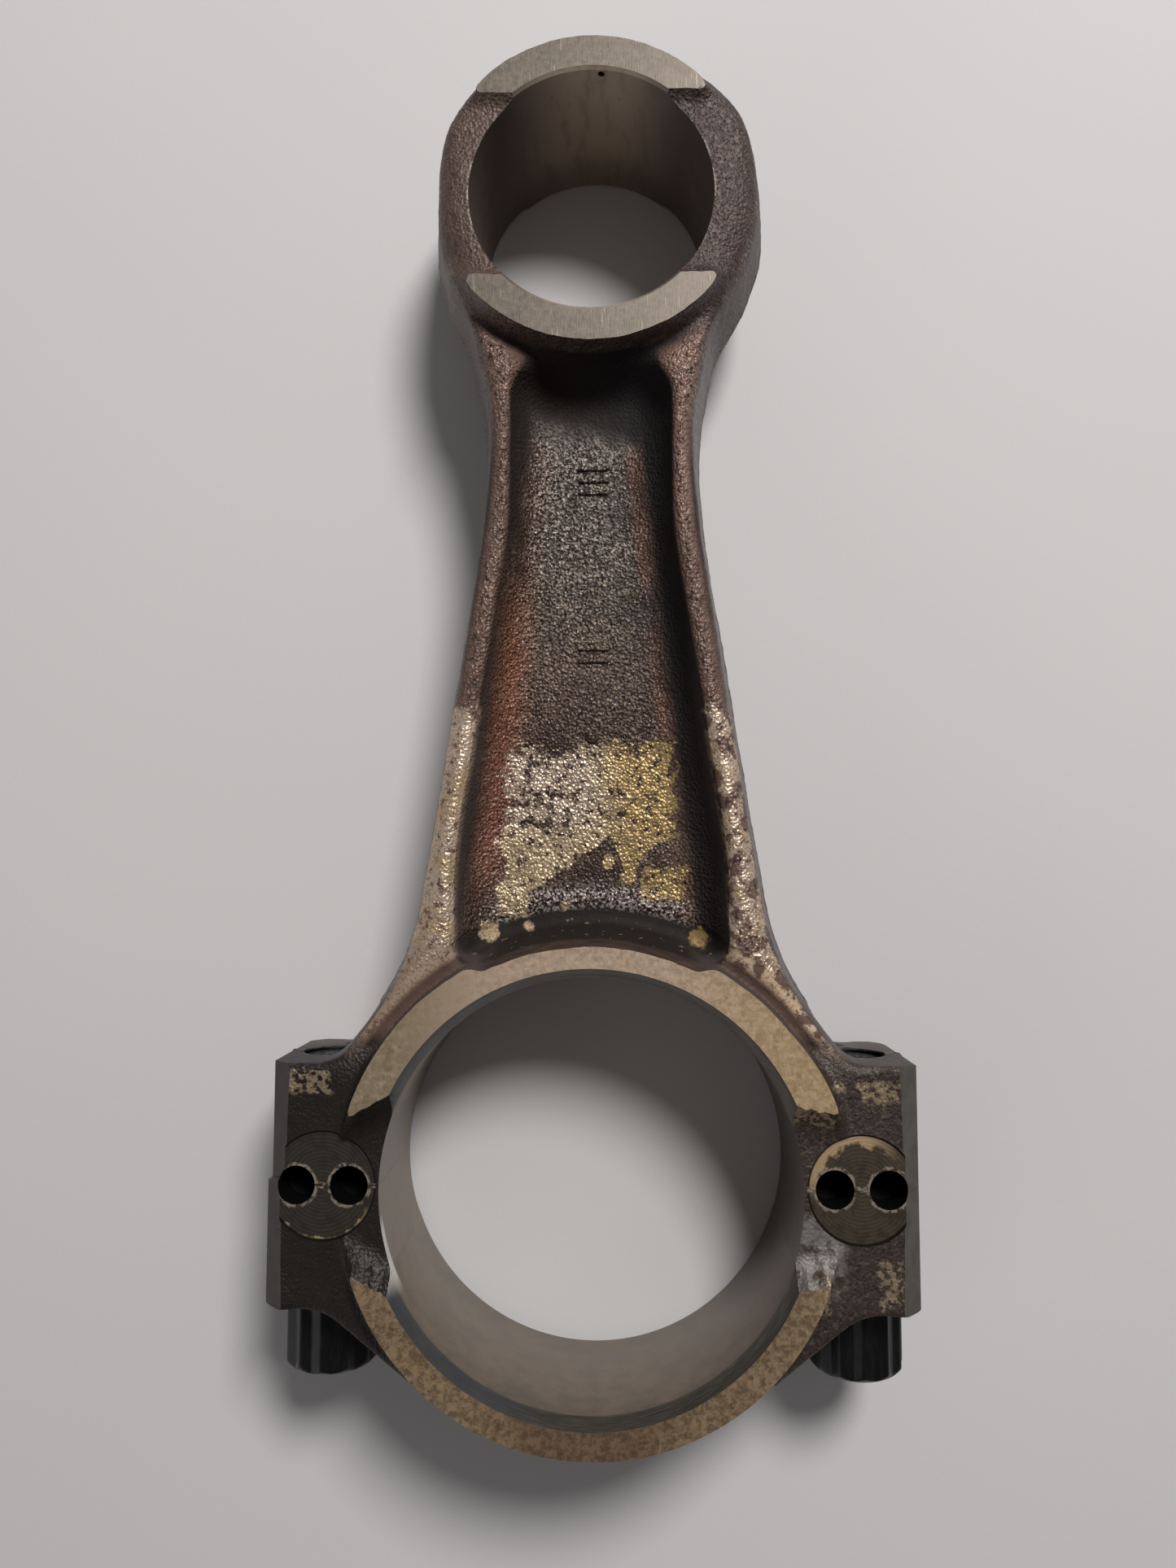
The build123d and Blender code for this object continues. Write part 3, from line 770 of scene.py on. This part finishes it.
    # web's worn patch: silver on its left, gold on its right, cut by a dark tent and a dark wedge below
    wobble = (p.noise(0.42, 6, shift=19, rough=0.7) - 0.5) * 3.4
    left_slope = 40 + (p.x - 2.1) * 0.7
    right_slope = 40 + (p.x - 2.1) * -2.2
    under = p.math("MINIMUM", left_slope, right_slope) - p.y
    tent = p.step(-0.25, 0.25, under + wobble)
    beside = p.x - 5.35 + (36.2 - p.y) * 0.74
    wedge = p.step(-0.25, 0.25, p.math("MINIMUM", 39.6 - p.y, beside) + wobble)
    sheet = p.both(p.patch((-10.6, 33.2), (9.6, 50.4), 3.6, 0.3, 0.5, 13), 1 - tent, 1 - wedge)
    feet = p.either(p.patch((-11.3, 30.4), (-7.8, 34.6), 1, 0.3, 0.6, 7),
        p.patch((5.9, 32.4), (11.2, 36.2), 1.1, 0.3, 0.6, 9))
    crumbs = p.either(*(p.spot(x, y, radius, 0.9, 0.25, 0.9, x) for x, y, radius in (
        (2.1, 36.9, 0.8), (4.3, 34.9, 0.8), (-3.3, 31.6, 0.45),
        (-7.6, 29.2, 0.5), (-12.2, 28.6, 1.2), (12.6, 27.9, 1.1))))
    sparse = p.step(2, -6, p.x) * p.step(38, 43, p.y)
    speckles = p.noise(0.85, 6, shift=41, rough=0.75) - sparse * 0.045
    holes = p.both(p.step(0.42, 0.46, speckles), p.step(0.37, 0.42, p.noise(0.32, 5, shift=57, rough=0.72)))
    patch = p.both(p.either(p.both(p.either(sheet, feet), holes), crumbs), front, p.step(9.4, 8.6, az))
    drift = p.x + (p.noise(0.25, 4, shift=29) - 0.5) * 12
    gold = p.step(-3, 4, drift - (50 - p.y) * 0.12)
    lower = p.step(43, 38, p.y + waver)
    worn = p.mix(gold, p.mix(lower, (0.62, 0.49, 0.37), (0.66, 0.5, 0.31)), (0.47, 0.325, 0.135))
    worn = p.mix(p.step(0.5, 0.38, grain) * 0.7, worn, (0.19, 0.125, 0.075))
    p.coat(patch * 0.94, worn)

    # chips on the shoulders' outer corners
    chips = p.either(
        p.patch((-34.4, 10.6), (-29.5, 13.2), 1.5, 0.25, 0.6, 3),
        p.patch((30, 9.8), (34.6, 12.2), 1.8, 0.25, 0.6, 8),
        p.patch((32, -12.4), (34.2, -7.4), 1.6, 0.25, 0.6, 1),
        p.patch((25.2, -13), (26.4, -8.6), 1, 0.25, 0.6, 2),
        p.spot(27.8, 11.6, 0.6, 0.8, 0.25, 0.9, 4),
        p.patch((22.4, 7.6), (26.6, 10.4), 1.4, 0.3, 0.7, 5))
    chips = p.both(chips, front, up, p.step(0.44, 0.54, p.noise(1.6, 5, shift=6)))
    p.coat(chips * 0.85, (0.36, 0.27, 0.17))
    # grey-violet bloom beside the bore on the cap's shoulders
    bloom = p.both(p.patch((23, -11), (28.2, -2.5), 1.5, 0.8, 0.5, 4),
        p.step(0.36, 0.58, p.noise(0.7, 5, shift=9)), front)
    p.coat(bloom * 0.8, (0.235, 0.21, 0.19))
    # painted highlight: a bright line where the eye's cheeks meet the bore
    level = p.step(7.5, 4.5, abs(p.y - CENTRES))
    rim = p.both(p.step(SMALL_R + 0.3, SMALL_R + 0.1, p.away(0, CENTRES)),
        p.step(0.4, 0.55, p.noise(0.6, shift=37)), level)
    p.coat(rim * 0.7, (0.36, 0.31, 0.26))

    bright = p.either(bare, patch, chips)
    roughness = 0.27 + p.noise(0.9, shift=61) * 0.2
    roughness = roughness + p.both(front, p.either(soot_and_shade, valley)) * 0.4
    roughness = roughness + p.either(big_end, eye) * 0.14
    # the grain is shallow where the soot and painted shade lie and where it is worn; the bump samples these
    # masks often, so they depend on the place alone
    rubbed_flat = p.either(p.both(p.step(8.6, 9.6, az), p.step(57, 52, p.y)),
        p.both(sunk, p.step(51.5, 49.5, p.y), p.step(32, 34, p.y), p.step(11.5, 10, ax)))
    shaded = p.both(front, sunk, p.step(18, 32, p.y),
        p.either(p.step(7.6, 9.4, outward), p.step(84, 90, p.y)))
    calm = p.either(p.both(valley, front), big_end * 0.8, eye * 0.35,
        p.either(rubbed_flat, shaded) * 0.6)
    depth = 1 - calm * 0.85
    p.relief((depth * p.noise(0.7, shift=71), 0.26),
        (depth * pebble, 0.22), (depth * grain, 0.1))
    return p.finish(roughness, 0.25 + bright * 0.3)


def ground_face():
    """Thrust faces: fine straight grinding marks, stains and a few nicks."""
    p = Paint("ground_face")
    marks = p.noise(2, stretch=(6, 0.45, 1), rough=0.6)
    mottle = p.noise(1.6, 4, shift=7, rough=0.65)

    def mottled(spread, dark, pale):
        return p.mix(p.step(0.5 - spread, 0.5 + spread, mottle), dark, pale)

    small_end = p.step(60, 80, p.y)
    cap_side = p.step(1, -1, p.y)
    p.colour = mottled(0.2, (0.46, 0.345, 0.245), (0.68, 0.5, 0.36))
    olive = p.both(p.step(-14, -23, p.x), p.step(0.3, 0.56, p.noise(1.1, 4, shift=15)))
    p.coat(p.step(6, 22, p.x), mottled(0.2, (0.42, 0.29, 0.155), (0.64, 0.46, 0.27)))
    p.coat(olive * 0.85, (0.24, 0.185, 0.095))
    p.coat(p.both(p.step(-8, -20, p.x), p.step(0.35, 0.65, mottle)), (0.37, 0.275, 0.185))
    cap = mottled(0.15, (0.19, 0.128, 0.072), (0.4, 0.28, 0.165))
    cap = p.mix(p.step(14, 4, abs(p.x)), cap,
        mottled(0.15, (0.15, 0.09, 0.05), (0.27, 0.175, 0.105)))
    p.coat(cap_side, cap)
    p.coat(small_end, mottled(0.2, (0.105, 0.086, 0.068), (0.175, 0.14, 0.108)))
    stain = p.step(0.6, 0.72, p.noise(0.9, 5, shift=21, rough=0.7))
    rust = stain * cap_side * 0.85
    p.coat(rust, (0.085, 0.04, 0.018))
    p.coat(stain * 0.22, (0.16, 0.11, 0.06))
    pits = p.step(0.7, 0.76, p.noise(2.6, 2, shift=33))
    p.coat(pits * 0.6, (0.06, 0.04, 0.03))
    scratches = p.step(0.66, 0.72, p.noise(0.5, 2, stretch=(7, 0.5, 1), shift=5))
    p.coat(scratches * 0.25, (0.55, 0.48, 0.4))
    p.relief((marks, 0.012), (mottle, 0.008))
    return p.finish(0.34 + mottle * 0.2, 0.45)


def bored_face():
    """Bores and their chamfers: fine turning lines, darker and stained in the small end."""
    p = Paint("bored_face")
    lines = p.noise(1, 2, stretch=(0.15, 0.15, 5))
    speckle = p.noise(2.4, shift=9, rough=0.6)
    mottle = p.noise(0.35, 4, shift=19)
    small_end = p.step(60, 80, p.y)
    p.colour = p.mix(p.step(0.3, 0.7, mottle), (0.2, 0.165, 0.135), (0.27, 0.215, 0.165))
    # painted light: the small end's bore is painted lighter across its middle, as light bounced onto it,
    # and darker at its sides and lower down, as shade
    eye = p.mix(p.step(12, 2, abs(p.x)), (0.12, 0.092, 0.08), (0.48, 0.375, 0.29))
    run = p.step(0.46, 0.7, p.noise(0.28, 5, stretch=(1.4, 1.4, 0.4), shift=4, rough=0.65))
    eye = p.mix(run * 0.42, eye, (0.15, 0.1, 0.075))
    eye = p.mix(p.step(-2, -9.5, p.z) * 0.55, eye, (0.11, 0.085, 0.07))
    # painted shade: the big end's bore is darkened on its right, lower part, where its wall is in shadow
    right_wall_shade = p.both(p.step(4, 22, p.x), p.step(-26, -6, p.y))
    p.coat(right_wall_shade * 0.62, (0.055, 0.04, 0.03))
    p.coat(small_end, eye)
    pits = p.step(0.68, 0.74, p.noise(1.7, shift=27))
    p.coat(pits * 0.45, (0.055, 0.042, 0.035))
    # chamfered mouths: painted lighter and blue-grey on the left, where they face the light, dark with
    # turning rings elsewhere
    mouth = p.both(p.step(BIG_R + 0.04, BIG_R + 0.12, p.away(0, 0)),
        p.step(CENTRES / 2 + 1, CENTRES / 2, p.y))
    tint = p.mix(p.step(-3, -12, p.x), (0.07, 0.062, 0.05), (0.085, 0.098, 0.12))
    turned_rings = p.noise(2, 2, stretch=(0.2, 0.2, 4), shift=2)
    tint = p.mix(p.step(0.35, 0.75, turned_rings), tint, (0.13, 0.12, 0.105))
    p.coat(mouth * 0.9, tint)
    # painted highlight: a bright streak on the cap's left bore edge, between its face and the split
    edge_highlight = p.both(p.step(-19, -21, p.x), p.step(-11.5, -9, p.y), p.step(-2.5, -5, p.y),
        p.step(8, 8.6, p.z))
    p.coat(edge_highlight, (0.8, 0.77, 0.72))
    p.relief((lines, 0.01), (speckle, 0.01))
    metal = 0.55 - small_end * 0.35
    return p.finish(0.3 + mottle * 0.2, metal)


def machined_side():
    """Shoulders' milled sides, bevels and bolt seats: smooth and dark."""
    p = Paint("machined_side")
    lines = p.noise(1.2, stretch=(4, 0.2, 4))
    mottle = p.noise(0.5, 4, shift=13)
    right = p.step(-5, 5, p.x)
    # painted light: lighter on the right, where these faces turn to the light, darker on the left
    p.colour = p.mix(right, (0.06, 0.046, 0.043), (0.115, 0.105, 0.09))
    p.coat(p.step(0.3, 0.8, mottle) * 0.45, (0.035, 0.03, 0.027))
    p.coat(p.step(0.66, 0.74, p.noise(1.6, 4, shift=3)) * 0.4, (0.2, 0.17, 0.14))
    p.relief((lines, 0.01), (mottle, 0.02))
    return p.finish(0.34 + mottle * 0.2, 0.45)


def spot_face():
    """Round marking flats: dark olive with cutter arcs and a golden rim."""
    p = Paint("spot_face")
    side = p.step(-1, 1, p.x)
    radius = p.blend(side, p.away(-SPOT_X, SPOT_Y), p.away(SPOT_X, SPOT_Y))
    arcs = p.math("SINE", radius * 15 + p.noise(0.5) * 6)
    arcs = 0.5 + arcs * 0.5
    mottle = p.noise(0.9, 4, shift=5)
    p.colour = p.mix(side, (0.04, 0.034, 0.027), (0.075, 0.056, 0.036))
    p.coat(arcs * 0.25, (0.12, 0.1, 0.08))
    p.coat(p.step(0.45, 0.65, mottle) * 0.5, (0.028, 0.022, 0.017))
    wavering = radius + (mottle - 0.5) * 3
    turning = p.step(-1, 2, p.y) * p.step(SPOT_X + 5, SPOT_X, p.x)
    rim = p.either(p.both(side, turning, p.step(SPOT_R - 1.5, SPOT_R - 0.9, wavering)),
        p.both(1 - side, p.step(-1.5, -4, p.y), p.step(SPOT_R - 0.5, SPOT_R, wavering)))
    p.coat(rim * 0.9, (0.58, 0.4, 0.23))
    # painted shadow: a dark line where the flat's wall stands
    p.coat(p.step(SPOT_R - 0.35, SPOT_R - 0.15, radius), (0.01, 0.008, 0.006))
    # burrs round the four blind holes and along the split between them
    burrs = []
    for sign in (-1, 1):
        for offset in (-MARK_X, MARK_X):
            x = sign * SPOT_X + offset
            burrs.append(p.spot(x, SPOT_Y, MARK_R + 0.3, 0.45, 0.1, 1.1, 9 * sign + offset))
    seam = p.patch((-60, SPOT_Y - 0.25), (60, SPOT_Y + 0.25), 0.5, 0.1, 0.9, 3)
    burr = p.both(p.either(*burrs, seam), p.step(0.38, 0.56, p.noise(1.4, shift=45)))
    p.coat(burr * 0.85, (0.42, 0.33, 0.25))
    p.relief((arcs, 0.012), (mottle, 0.03))
    return p.finish(0.42, 0.45)


def dark_hole():
    """Blind holes, bolt holes and the pit, painted near black as shade."""
    p = Paint("dark_hole")
    mottle = p.noise(1.2)
    # painted shade: the holes are coloured near black
    p.colour = p.mix(mottle, (0.001, 0.001, 0.001), (0.003, 0.003, 0.003))
    p.relief((mottle, 0.02))
    return p.finish(0.75, 0, 0.1)


def threaded_hole():
    """Tapped threads: oily steel, painted lighter on their crests and darker in their roots as light and
    shade.
    """
    p = Paint("threaded_hole")
    mottle = p.noise(1.5, shift=6)
    off = abs(abs(p.x) - BOLT_X)
    radius = p.math("SQRT", off * off + p.z * p.z)
    # painted light: lighter crests and dark roots
    p.colour = p.mix(p.step(TAPPED_ROOT_R, TAPPED_R, radius), (0.02, 0.019, 0.019), (0.15, 0.15, 0.155))
    p.coat(p.step(0.4, 0.6, mottle) * 0.5, (0.02, 0.018, 0.016))
    p.relief((mottle, 0.02))
    return p.finish(0.35, 0.4)


def fracture_face():
    """Torn, crystalline steel between rod and cap."""
    p = Paint("fracture_face")
    crystals = p.cells(3.4, 2)
    p.colour = p.mix(p.step(0.1, 0.6, crystals), (0.3, 0.28, 0.26), (0.14, 0.125, 0.115))
    p.coat(p.step(0.5, 0.7, p.noise(0.5, 4)) * 0.6, (0.09, 0.065, 0.05))
    p.relief((crystals, 0.1), (p.noise(1.5), 0.1))
    return p.finish(0.4, 0.6)


def black_oxide():
    """Bolts: black oxide with faint wear along the flutes."""
    p = Paint("black_oxide")
    streak = p.noise(1.3, stretch=(2.5, 0.35, 2.5), shift=8)
    fine = p.noise(3, shift=18)
    p.colour = p.mix(p.step(0.4, 0.7, streak), (0.004, 0.004, 0.0045), (0.01, 0.01, 0.011))
    p.coat(p.step(0.7, 0.8, p.noise(1.6, 5, shift=28)) * 0.5, (0.16, 0.14, 0.12))
    p.relief((fine, 0.008), (streak, 0.012))
    return p.finish(0.24 + fine * 0.18, 0.35)


def paper():
    """Pale paper under the part."""
    p = Paint("paper")
    cloud = p.noise(0.012)
    fibre = p.noise(1.2, 4)
    p.colour = p.mix(cloud, (0.7, 0.675, 0.672), (0.735, 0.715, 0.7))
    p.relief((fibre, 0.02))
    return p.finish(0.85, 0, 0.2)


FORGED = forged_skin()
GROUND = ground_face()
BORED = bored_face()
MACHINED = machined_side()
SPOT = spot_face()
DARK = dark_hole()
THREAD = threaded_hole()
FRACTURE = fracture_face()
OXIDE = black_oxide()
PAPER = paper()


# --- machining --------------------

def split_line(x):
    """Where the fracture crosses the middle, in Y, at each X."""
    lift = np.where(x < 0, 0.65, 0.25)
    return lift + 0.16 * np.sin(1.9 * x) + 0.1 * np.sin(4.7 * x + 1)


def fracture_cutter(name, side, material):
    """Everything on one side of the fracture: -1 below it, +1 above. Both share one torn surface."""
    gap, spacing, depth = 0.03, 0.4, 40
    xs = np.arange(-42, 42.01, spacing)
    zs = np.arange(-14, 14.01, spacing)
    verts = []
    for x in xs:
        for z in zs:
            tear = 0.22 * noise.noise(Vector((x * 0.55, 3.7, z * 0.55)))
            tear += 0.12 * noise.noise(Vector((x * 1.6, 9.1, z * 1.6)))
            verts.append((x, float(split_line(x)) + tear + side * gap, z))
    grid = np.arange(len(verts)).reshape(len(xs), len(zs))
    quads = np.stack((grid[:-1, :-1], grid[:-1, 1:], grid[1:, 1:], grid[1:, :-1]), axis=-1)
    faces = quads.reshape(-1, 4).tolist()
    base = len(verts)
    ends = (xs[0], zs[0]), (xs[-1], zs[0]), (xs[-1], zs[-1]), (xs[0], zs[-1])
    verts += [(x, side * depth, z) for x, z in ends]
    rims = [grid[:, 0], grid[-1], grid[::-1, -1], grid[0, ::-1]]
    for k, rim in enumerate(rims):
        faces.append(rim.tolist() + [base + (k + 1) % 4, base + k])
    faces.append(range(base, base + 4))
    return face_outward(new_object(name, verts, faces, material))


def grooved(radius, root, low, high):
    """Profile of a row of V grooves between two heights, as (radius, height)."""
    points = [(radius, low)]
    for turn in range(int((high - low) / THREAD_PITCH)):
        start = low + turn * THREAD_PITCH
        points += [(radius, start + 0.12), (root, start + 0.55 * THREAD_PITCH), (radius, start + 0.93)]
    return points + [(radius, high)]


def machine(piece, left_x):
    """Grinds, bores, bevels and marks a blank whose left side lies at -left_x."""
    top = HALF_THICK + CLEAR
    slabs = []
    for low, high in ((HALF_THICK, top), (-top, -HALF_THICK)):
        section = [(-FAR, low), (FAR, low), (FAR, high), (-FAR, high)]
        slabs.append(prism("slab", section, -FAR, CENTRES + FAR, GROUND))
    cut(piece, joined(slabs))
    mouth = MOUTH_R + (MOUTH_R - BIG_R) / MOUTH_DEPTH
    level = HALF_THICK + 1
    straight = HALF_THICK - MOUTH_DEPTH
    profile = [(mouth, -level), (BIG_R, -straight), (BIG_R, straight), (mouth, level)]
    small = SMALL_R + SE_CHAMFER
    eye = [(small + 1, -level), (small, -HALF_THICK), (SMALL_R, SE_CHAMFER - HALF_THICK)]
    eye += [(radius, -height) for radius, height in reversed(eye)]
    bores = [
        turned("bore", profile, (0, 0, 0), "Z", BORED, 320),
        turned("bore", eye, (0, CENTRES, 0), "Z", BORED, 256),
    ]
    cut(piece, joined(bores))
    cut(piece, joined([bevel_cutter(-1, left_x), bevel_cutter(1, SHOULDER_X)]))
    spots = [turned("spot", [(SPOT_R, SPOT_Z), (SPOT_R, top)], (s * SPOT_X, SPOT_Y, 0), "Z", SPOT, 160)
             for s in (-1, 1)]
    cut(piece, joined(spots))
    marks = []
    for side in (-1, 1):
        for offset in (-MARK_X, MARK_X):
            centre = (side * SPOT_X + offset, SPOT_Y, 0)
            tip = SPOT_Z - MARK_DEPTH
            profile = [(0.3, tip - 0.9), (MARK_R, tip), (MARK_R, top)]
            marks.append(turned("mark", profile, centre, "Z", DARK, 64))
    cut(piece, joined(marks))


def bevel_cutter(side, outer):
    """Cutter for one side face and its two bevels."""
    inner, low_z, top = outer - BEVEL, LAND_Z - BEVEL, HALF_THICK + CLEAR
    shell = [(inner, LAND_Z), (outer, low_z), (outer, -low_z), (inner, -LAND_Z), (inner - 0.01, -top),
             (FAR, -top), (FAR, top), (inner - 0.01, top)]
    return prism("sides", [(side * x, z) for x, z in shell], -FAR, FAR, MACHINED)


def finish_shading(piece, angle=32):
    """Smooth shading with sharp edges where faces meet at more than an angle."""
    mesh = piece.data
    mesh.polygons.foreach_set("use_smooth", [True] * len(mesh.polygons))
    mesh.set_sharp_from_angle(angle=math.radians(angle))
    mesh.update()


# --- connecting rod --------------------

def raised_mark(x, y, half_length, radius):
    """Low rounded bar along X on the web, or a dome where half_length is next to nothing."""
    base, steps = WEB_Z - 1.5, 12
    rings = []
    for level, share in ((base, 1.12), (WEB_Z, 1.08), (WEB_Z + 0.6 * MARK_H, 0.96),
                         (WEB_Z + 0.9 * MARK_H, 0.78), (WEB_Z + MARK_H, 0.5)):
        right = arc((x + half_length, y), radius * share, -90, 90, steps)
        left = arc((x - half_length, y), radius * share, 90, 270, steps)
        outline = np.vstack((right, left)) + [(0, 0)]
        rings.append(np.column_stack((outline, np.full(len(outline), level))))
    return ringed_solid("mark", rings, [(x, y, base), (x, y, WEB_Z + MARK_H)], FORGED)


def raise_marks(piece):
    """Two groups of plain bars and a dot that stand up from the web."""
    marks = [raised_mark(BAR_X, y, BAR_HALF_LENGTH, BAR_R) for y in BARS_Y]
    marks.append(raised_mark(0, DOT_Y, 0.05, DOT_R))
    for mark in marks:
        cut(piece, mark, "UNION")


CELL = 0.5
rod = forging("rod_body", (-39, -4, -14), (39, 139, 14), CELL, FORGED)
raise_marks(rod)
machine(rod, SHOULDER_X - LEFT_INSET)
for side in (-1, 1):
    x = side * BOLT_X
    seat = [(ROD_SEAT_R, ROD_SHOULDER_Y), (ROD_SEAT_R, 40)]
    cut(rod, turned("seat", seat, (x, 0, 0), "Y", MACHINED, 96))
    cut(rod, turned("tapped", grooved(TAPPED_R, TAPPED_ROOT_R, -5, 15.5), (x, 0, 0), "Y", THREAD, 96))
cut(rod, fracture_cutter("split", -1, FRACTURE))
pit = [(PIT_R, CENTRES + SMALL_R - 1), (PIT_R, CENTRES + SMALL_R + 0.9)]
cut(rod, turned("pit", pit, (PIT_X, 0, PIT_Z), "Y", DARK, 24))
finish_shading(rod)

# --- big-end cap --------------------

cap = forging("cap_body", (-39, -32, -14), (39, 5, 14), 0.84 * CELL, FORGED)
machine(cap, SHOULDER_X)
for side in (-1, 1):
    x = side * BOLT_X
    seat = [(HEAD_SEAT_R, -40), (HEAD_SEAT_R, CAP_SHOULDER_Y)]
    cut(cap, turned("seat", seat, (x, 0, 0), "Y", MACHINED, 96))
    cut(cap, turned("clearance", [(CLEARANCE_R, -20), (CLEARANCE_R, 8)], (x, 0, 0), "Y", DARK, 96))
cut(cap, fracture_cutter("split", 1, FRACTURE))
finish_shading(cap)

for piece, body, node in ((rod, "rod", "connecting_rod"), (cap, "cap", "big_end_cap")):
    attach(piece, body)
    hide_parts(node)


# --- bolts --------------------

HEAD_CORNER_R, FLANGE_R, FLANGE_H, HEAD_H = 5.52, 5.58, 1.2, 9.1
BOLT_R, BOLT_ROOT_R, BOLT_SHANK_R = 3.95, 3.45, 3.8
BOLT_TIP_Y, THREAD_START_Y = 12, 1.5


def cap_bolt(name, x):
    """Twelve-point bolt along Y: fluted head with a turned end, flange, shank and a helical thread."""
    steps = 144
    angles = np.linspace(0, 2 * math.pi, steps, endpoint=False)
    flat = HEAD_CORNER_R * math.cos(math.pi / 6)
    hexes = [flat / np.cos(np.mod(angles + turn, math.pi / 3) - math.pi / 6) for turn in (0, math.pi / 6)]
    star = np.maximum(*hexes)
    star = np.minimum(star, HEAD_CORNER_R - 0.06)
    end_y = CAP_SHOULDER_Y - HEAD_H
    rows = []

    def row(y, radius):
        rows.append((y, np.broadcast_to(radius, (steps,))))

    # dished end, then the turned chamfer that makes the flutes' wavy rim
    for y, radius in ((0.9, 1.6), (0.75, 2.3), (0.1, 2.9), (0, 3.1)):
        row(end_y + y, radius)
    for y, cone in ((0, 4.35), (0.12, 4.6), (0.35, 4.95), (0.6, 5.2), (0.85, 5.4), (1.2, 5.6)):
        row(end_y + y, np.minimum(star, cone))
    for y in np.linspace(end_y + 1.6, CAP_SHOULDER_Y - FLANGE_H - 0.9, 6):
        row(y, star)
    for blend in (0.25, 0.5, 0.75, 1):
        y = CAP_SHOULDER_Y - FLANGE_H - 0.7 * (1 - blend)
        row(y, star + (FLANGE_R - 0.25 - star) * blend ** 2)
    # flange with eased edges, then the plain shank
    for y, radius in ((0.12 - FLANGE_H, FLANGE_R - 0.06), (0.35 - FLANGE_H, FLANGE_R), (-0.25, FLANGE_R),
                      (-0.06, FLANGE_R - 0.15), (-0.02, FLANGE_R - 0.4), (-0.02, BOLT_SHANK_R + 0.3),
                      (0.3, BOLT_SHANK_R)):
        row(CAP_SHOULDER_Y + y, radius)
    row(THREAD_START_Y - 0.6, BOLT_SHANK_R)
    for y in np.arange(THREAD_START_Y - 0.4, BOLT_TIP_Y - 0.3, THREAD_PITCH / 10):
        phase = np.mod(y / THREAD_PITCH - angles / (2 * math.pi), 1)
        groove = np.clip(np.minimum(phase, 1 - phase) * 2.6 - 0.15, 0, 1)
        depth = (BOLT_R - BOLT_ROOT_R) * (1 - groove)
        fade = min(1, max(0, (y - THREAD_START_Y + 0.4) / 1.2))
        tip = BOLT_ROOT_R + (BOLT_TIP_Y - y) * 0.8
        radius = BOLT_SHANK_R + (BOLT_R - depth - BOLT_SHANK_R) * fade
        row(y, np.minimum(radius, tip))
    row(BOLT_TIP_Y - 0.15, BOLT_ROOT_R - 0.1)
    row(BOLT_TIP_Y, BOLT_ROOT_R - 0.4)
    rings = [np.column_stack((x + radius * np.cos(angles), np.full(steps, y), radius * np.sin(angles)))
             for y, radius in rows]
    ends = [(x, end_y + 1, 0), (x, BOLT_TIP_Y, 0)]
    bolt = ringed_solid(name, rings, ends, OXIDE)
    finish_shading(bolt, 40)
    return bolt


for name, node, body, side in (
    ("left_bolt_body", "left_cap_bolt", "left_bolt", -1),
    ("right_bolt_body", "right_cap_bolt", "right_bolt", 1),
):
    bolt = cap_bolt(name, side * BOLT_X)
    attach(bolt, body)
    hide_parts(node)


# --- floor, light and camera --------------------

def lamp(name, place, target, size, power, colour=(1, 1, 1)):
    """Round soft light, size in metres and power in watts."""
    light = bpy.data.lights.new(name, "AREA")
    light.shape = "DISK"
    light.size = size
    light.energy = power
    light.color = colour
    thing = add_object(name, light)
    thing.location = place
    thing.rotation_euler = (target - place).to_track_quat("-Z", "Y").to_euler()


REACH = 900
corners = [(-REACH, -REACH, 0), (REACH, -REACH, 0), (REACH, REACH, 0), (-REACH, REACH, 0)]
floor = new_object("floor", corners, [(0, 1, 2, 3)], PAPER)
floor.location.z = -HALF_THICK * MM

MIDDLE = Vector((0, 0.04, 0))
lamp("key", MIDDLE + 0.75 * Vector((0.268, 0.573, 0.774)), MIDDLE, 0.22, 4.6, (0.985, 0.98, 0.98))
lamp("fill", MIDDLE + 0.9 * Vector((-0.75, -0.6, 0.28)), MIDDLE, 0.8, 1)

world = bpy.data.worlds.new("room")
world.use_nodes = True
background = world.node_tree.nodes["Background"]
background.inputs["Color"].default_value = (0.8, 0.79, 0.8, 1)
background.inputs["Strength"].default_value = 0.14
bpy.context.scene.world = world

camera_data = bpy.data.cameras.new("camera")
camera_data.sensor_fit = "VERTICAL"
camera_data.sensor_height = 36
camera_data.lens = 26.15
camera_data.clip_start = 0.005
camera = add_object("camera", camera_data)
# the camera's right, up and backward directions and its place
right = Vector((0.99958, 0.0010955, -0.0288867))
up = Vector((0.0010955, 0.9971284, 0.0757222))
back = Vector((0.0288867, -0.0757222, 0.9967104))
pose = Matrix((right, up, back)).transposed().to_4x4()
pose.translation = (0.0034575, 0.0357779, 0.1397928)
camera.matrix_world = pose
scene = bpy.context.scene
scene.camera = camera
scene.view_settings.view_transform = "Standard"
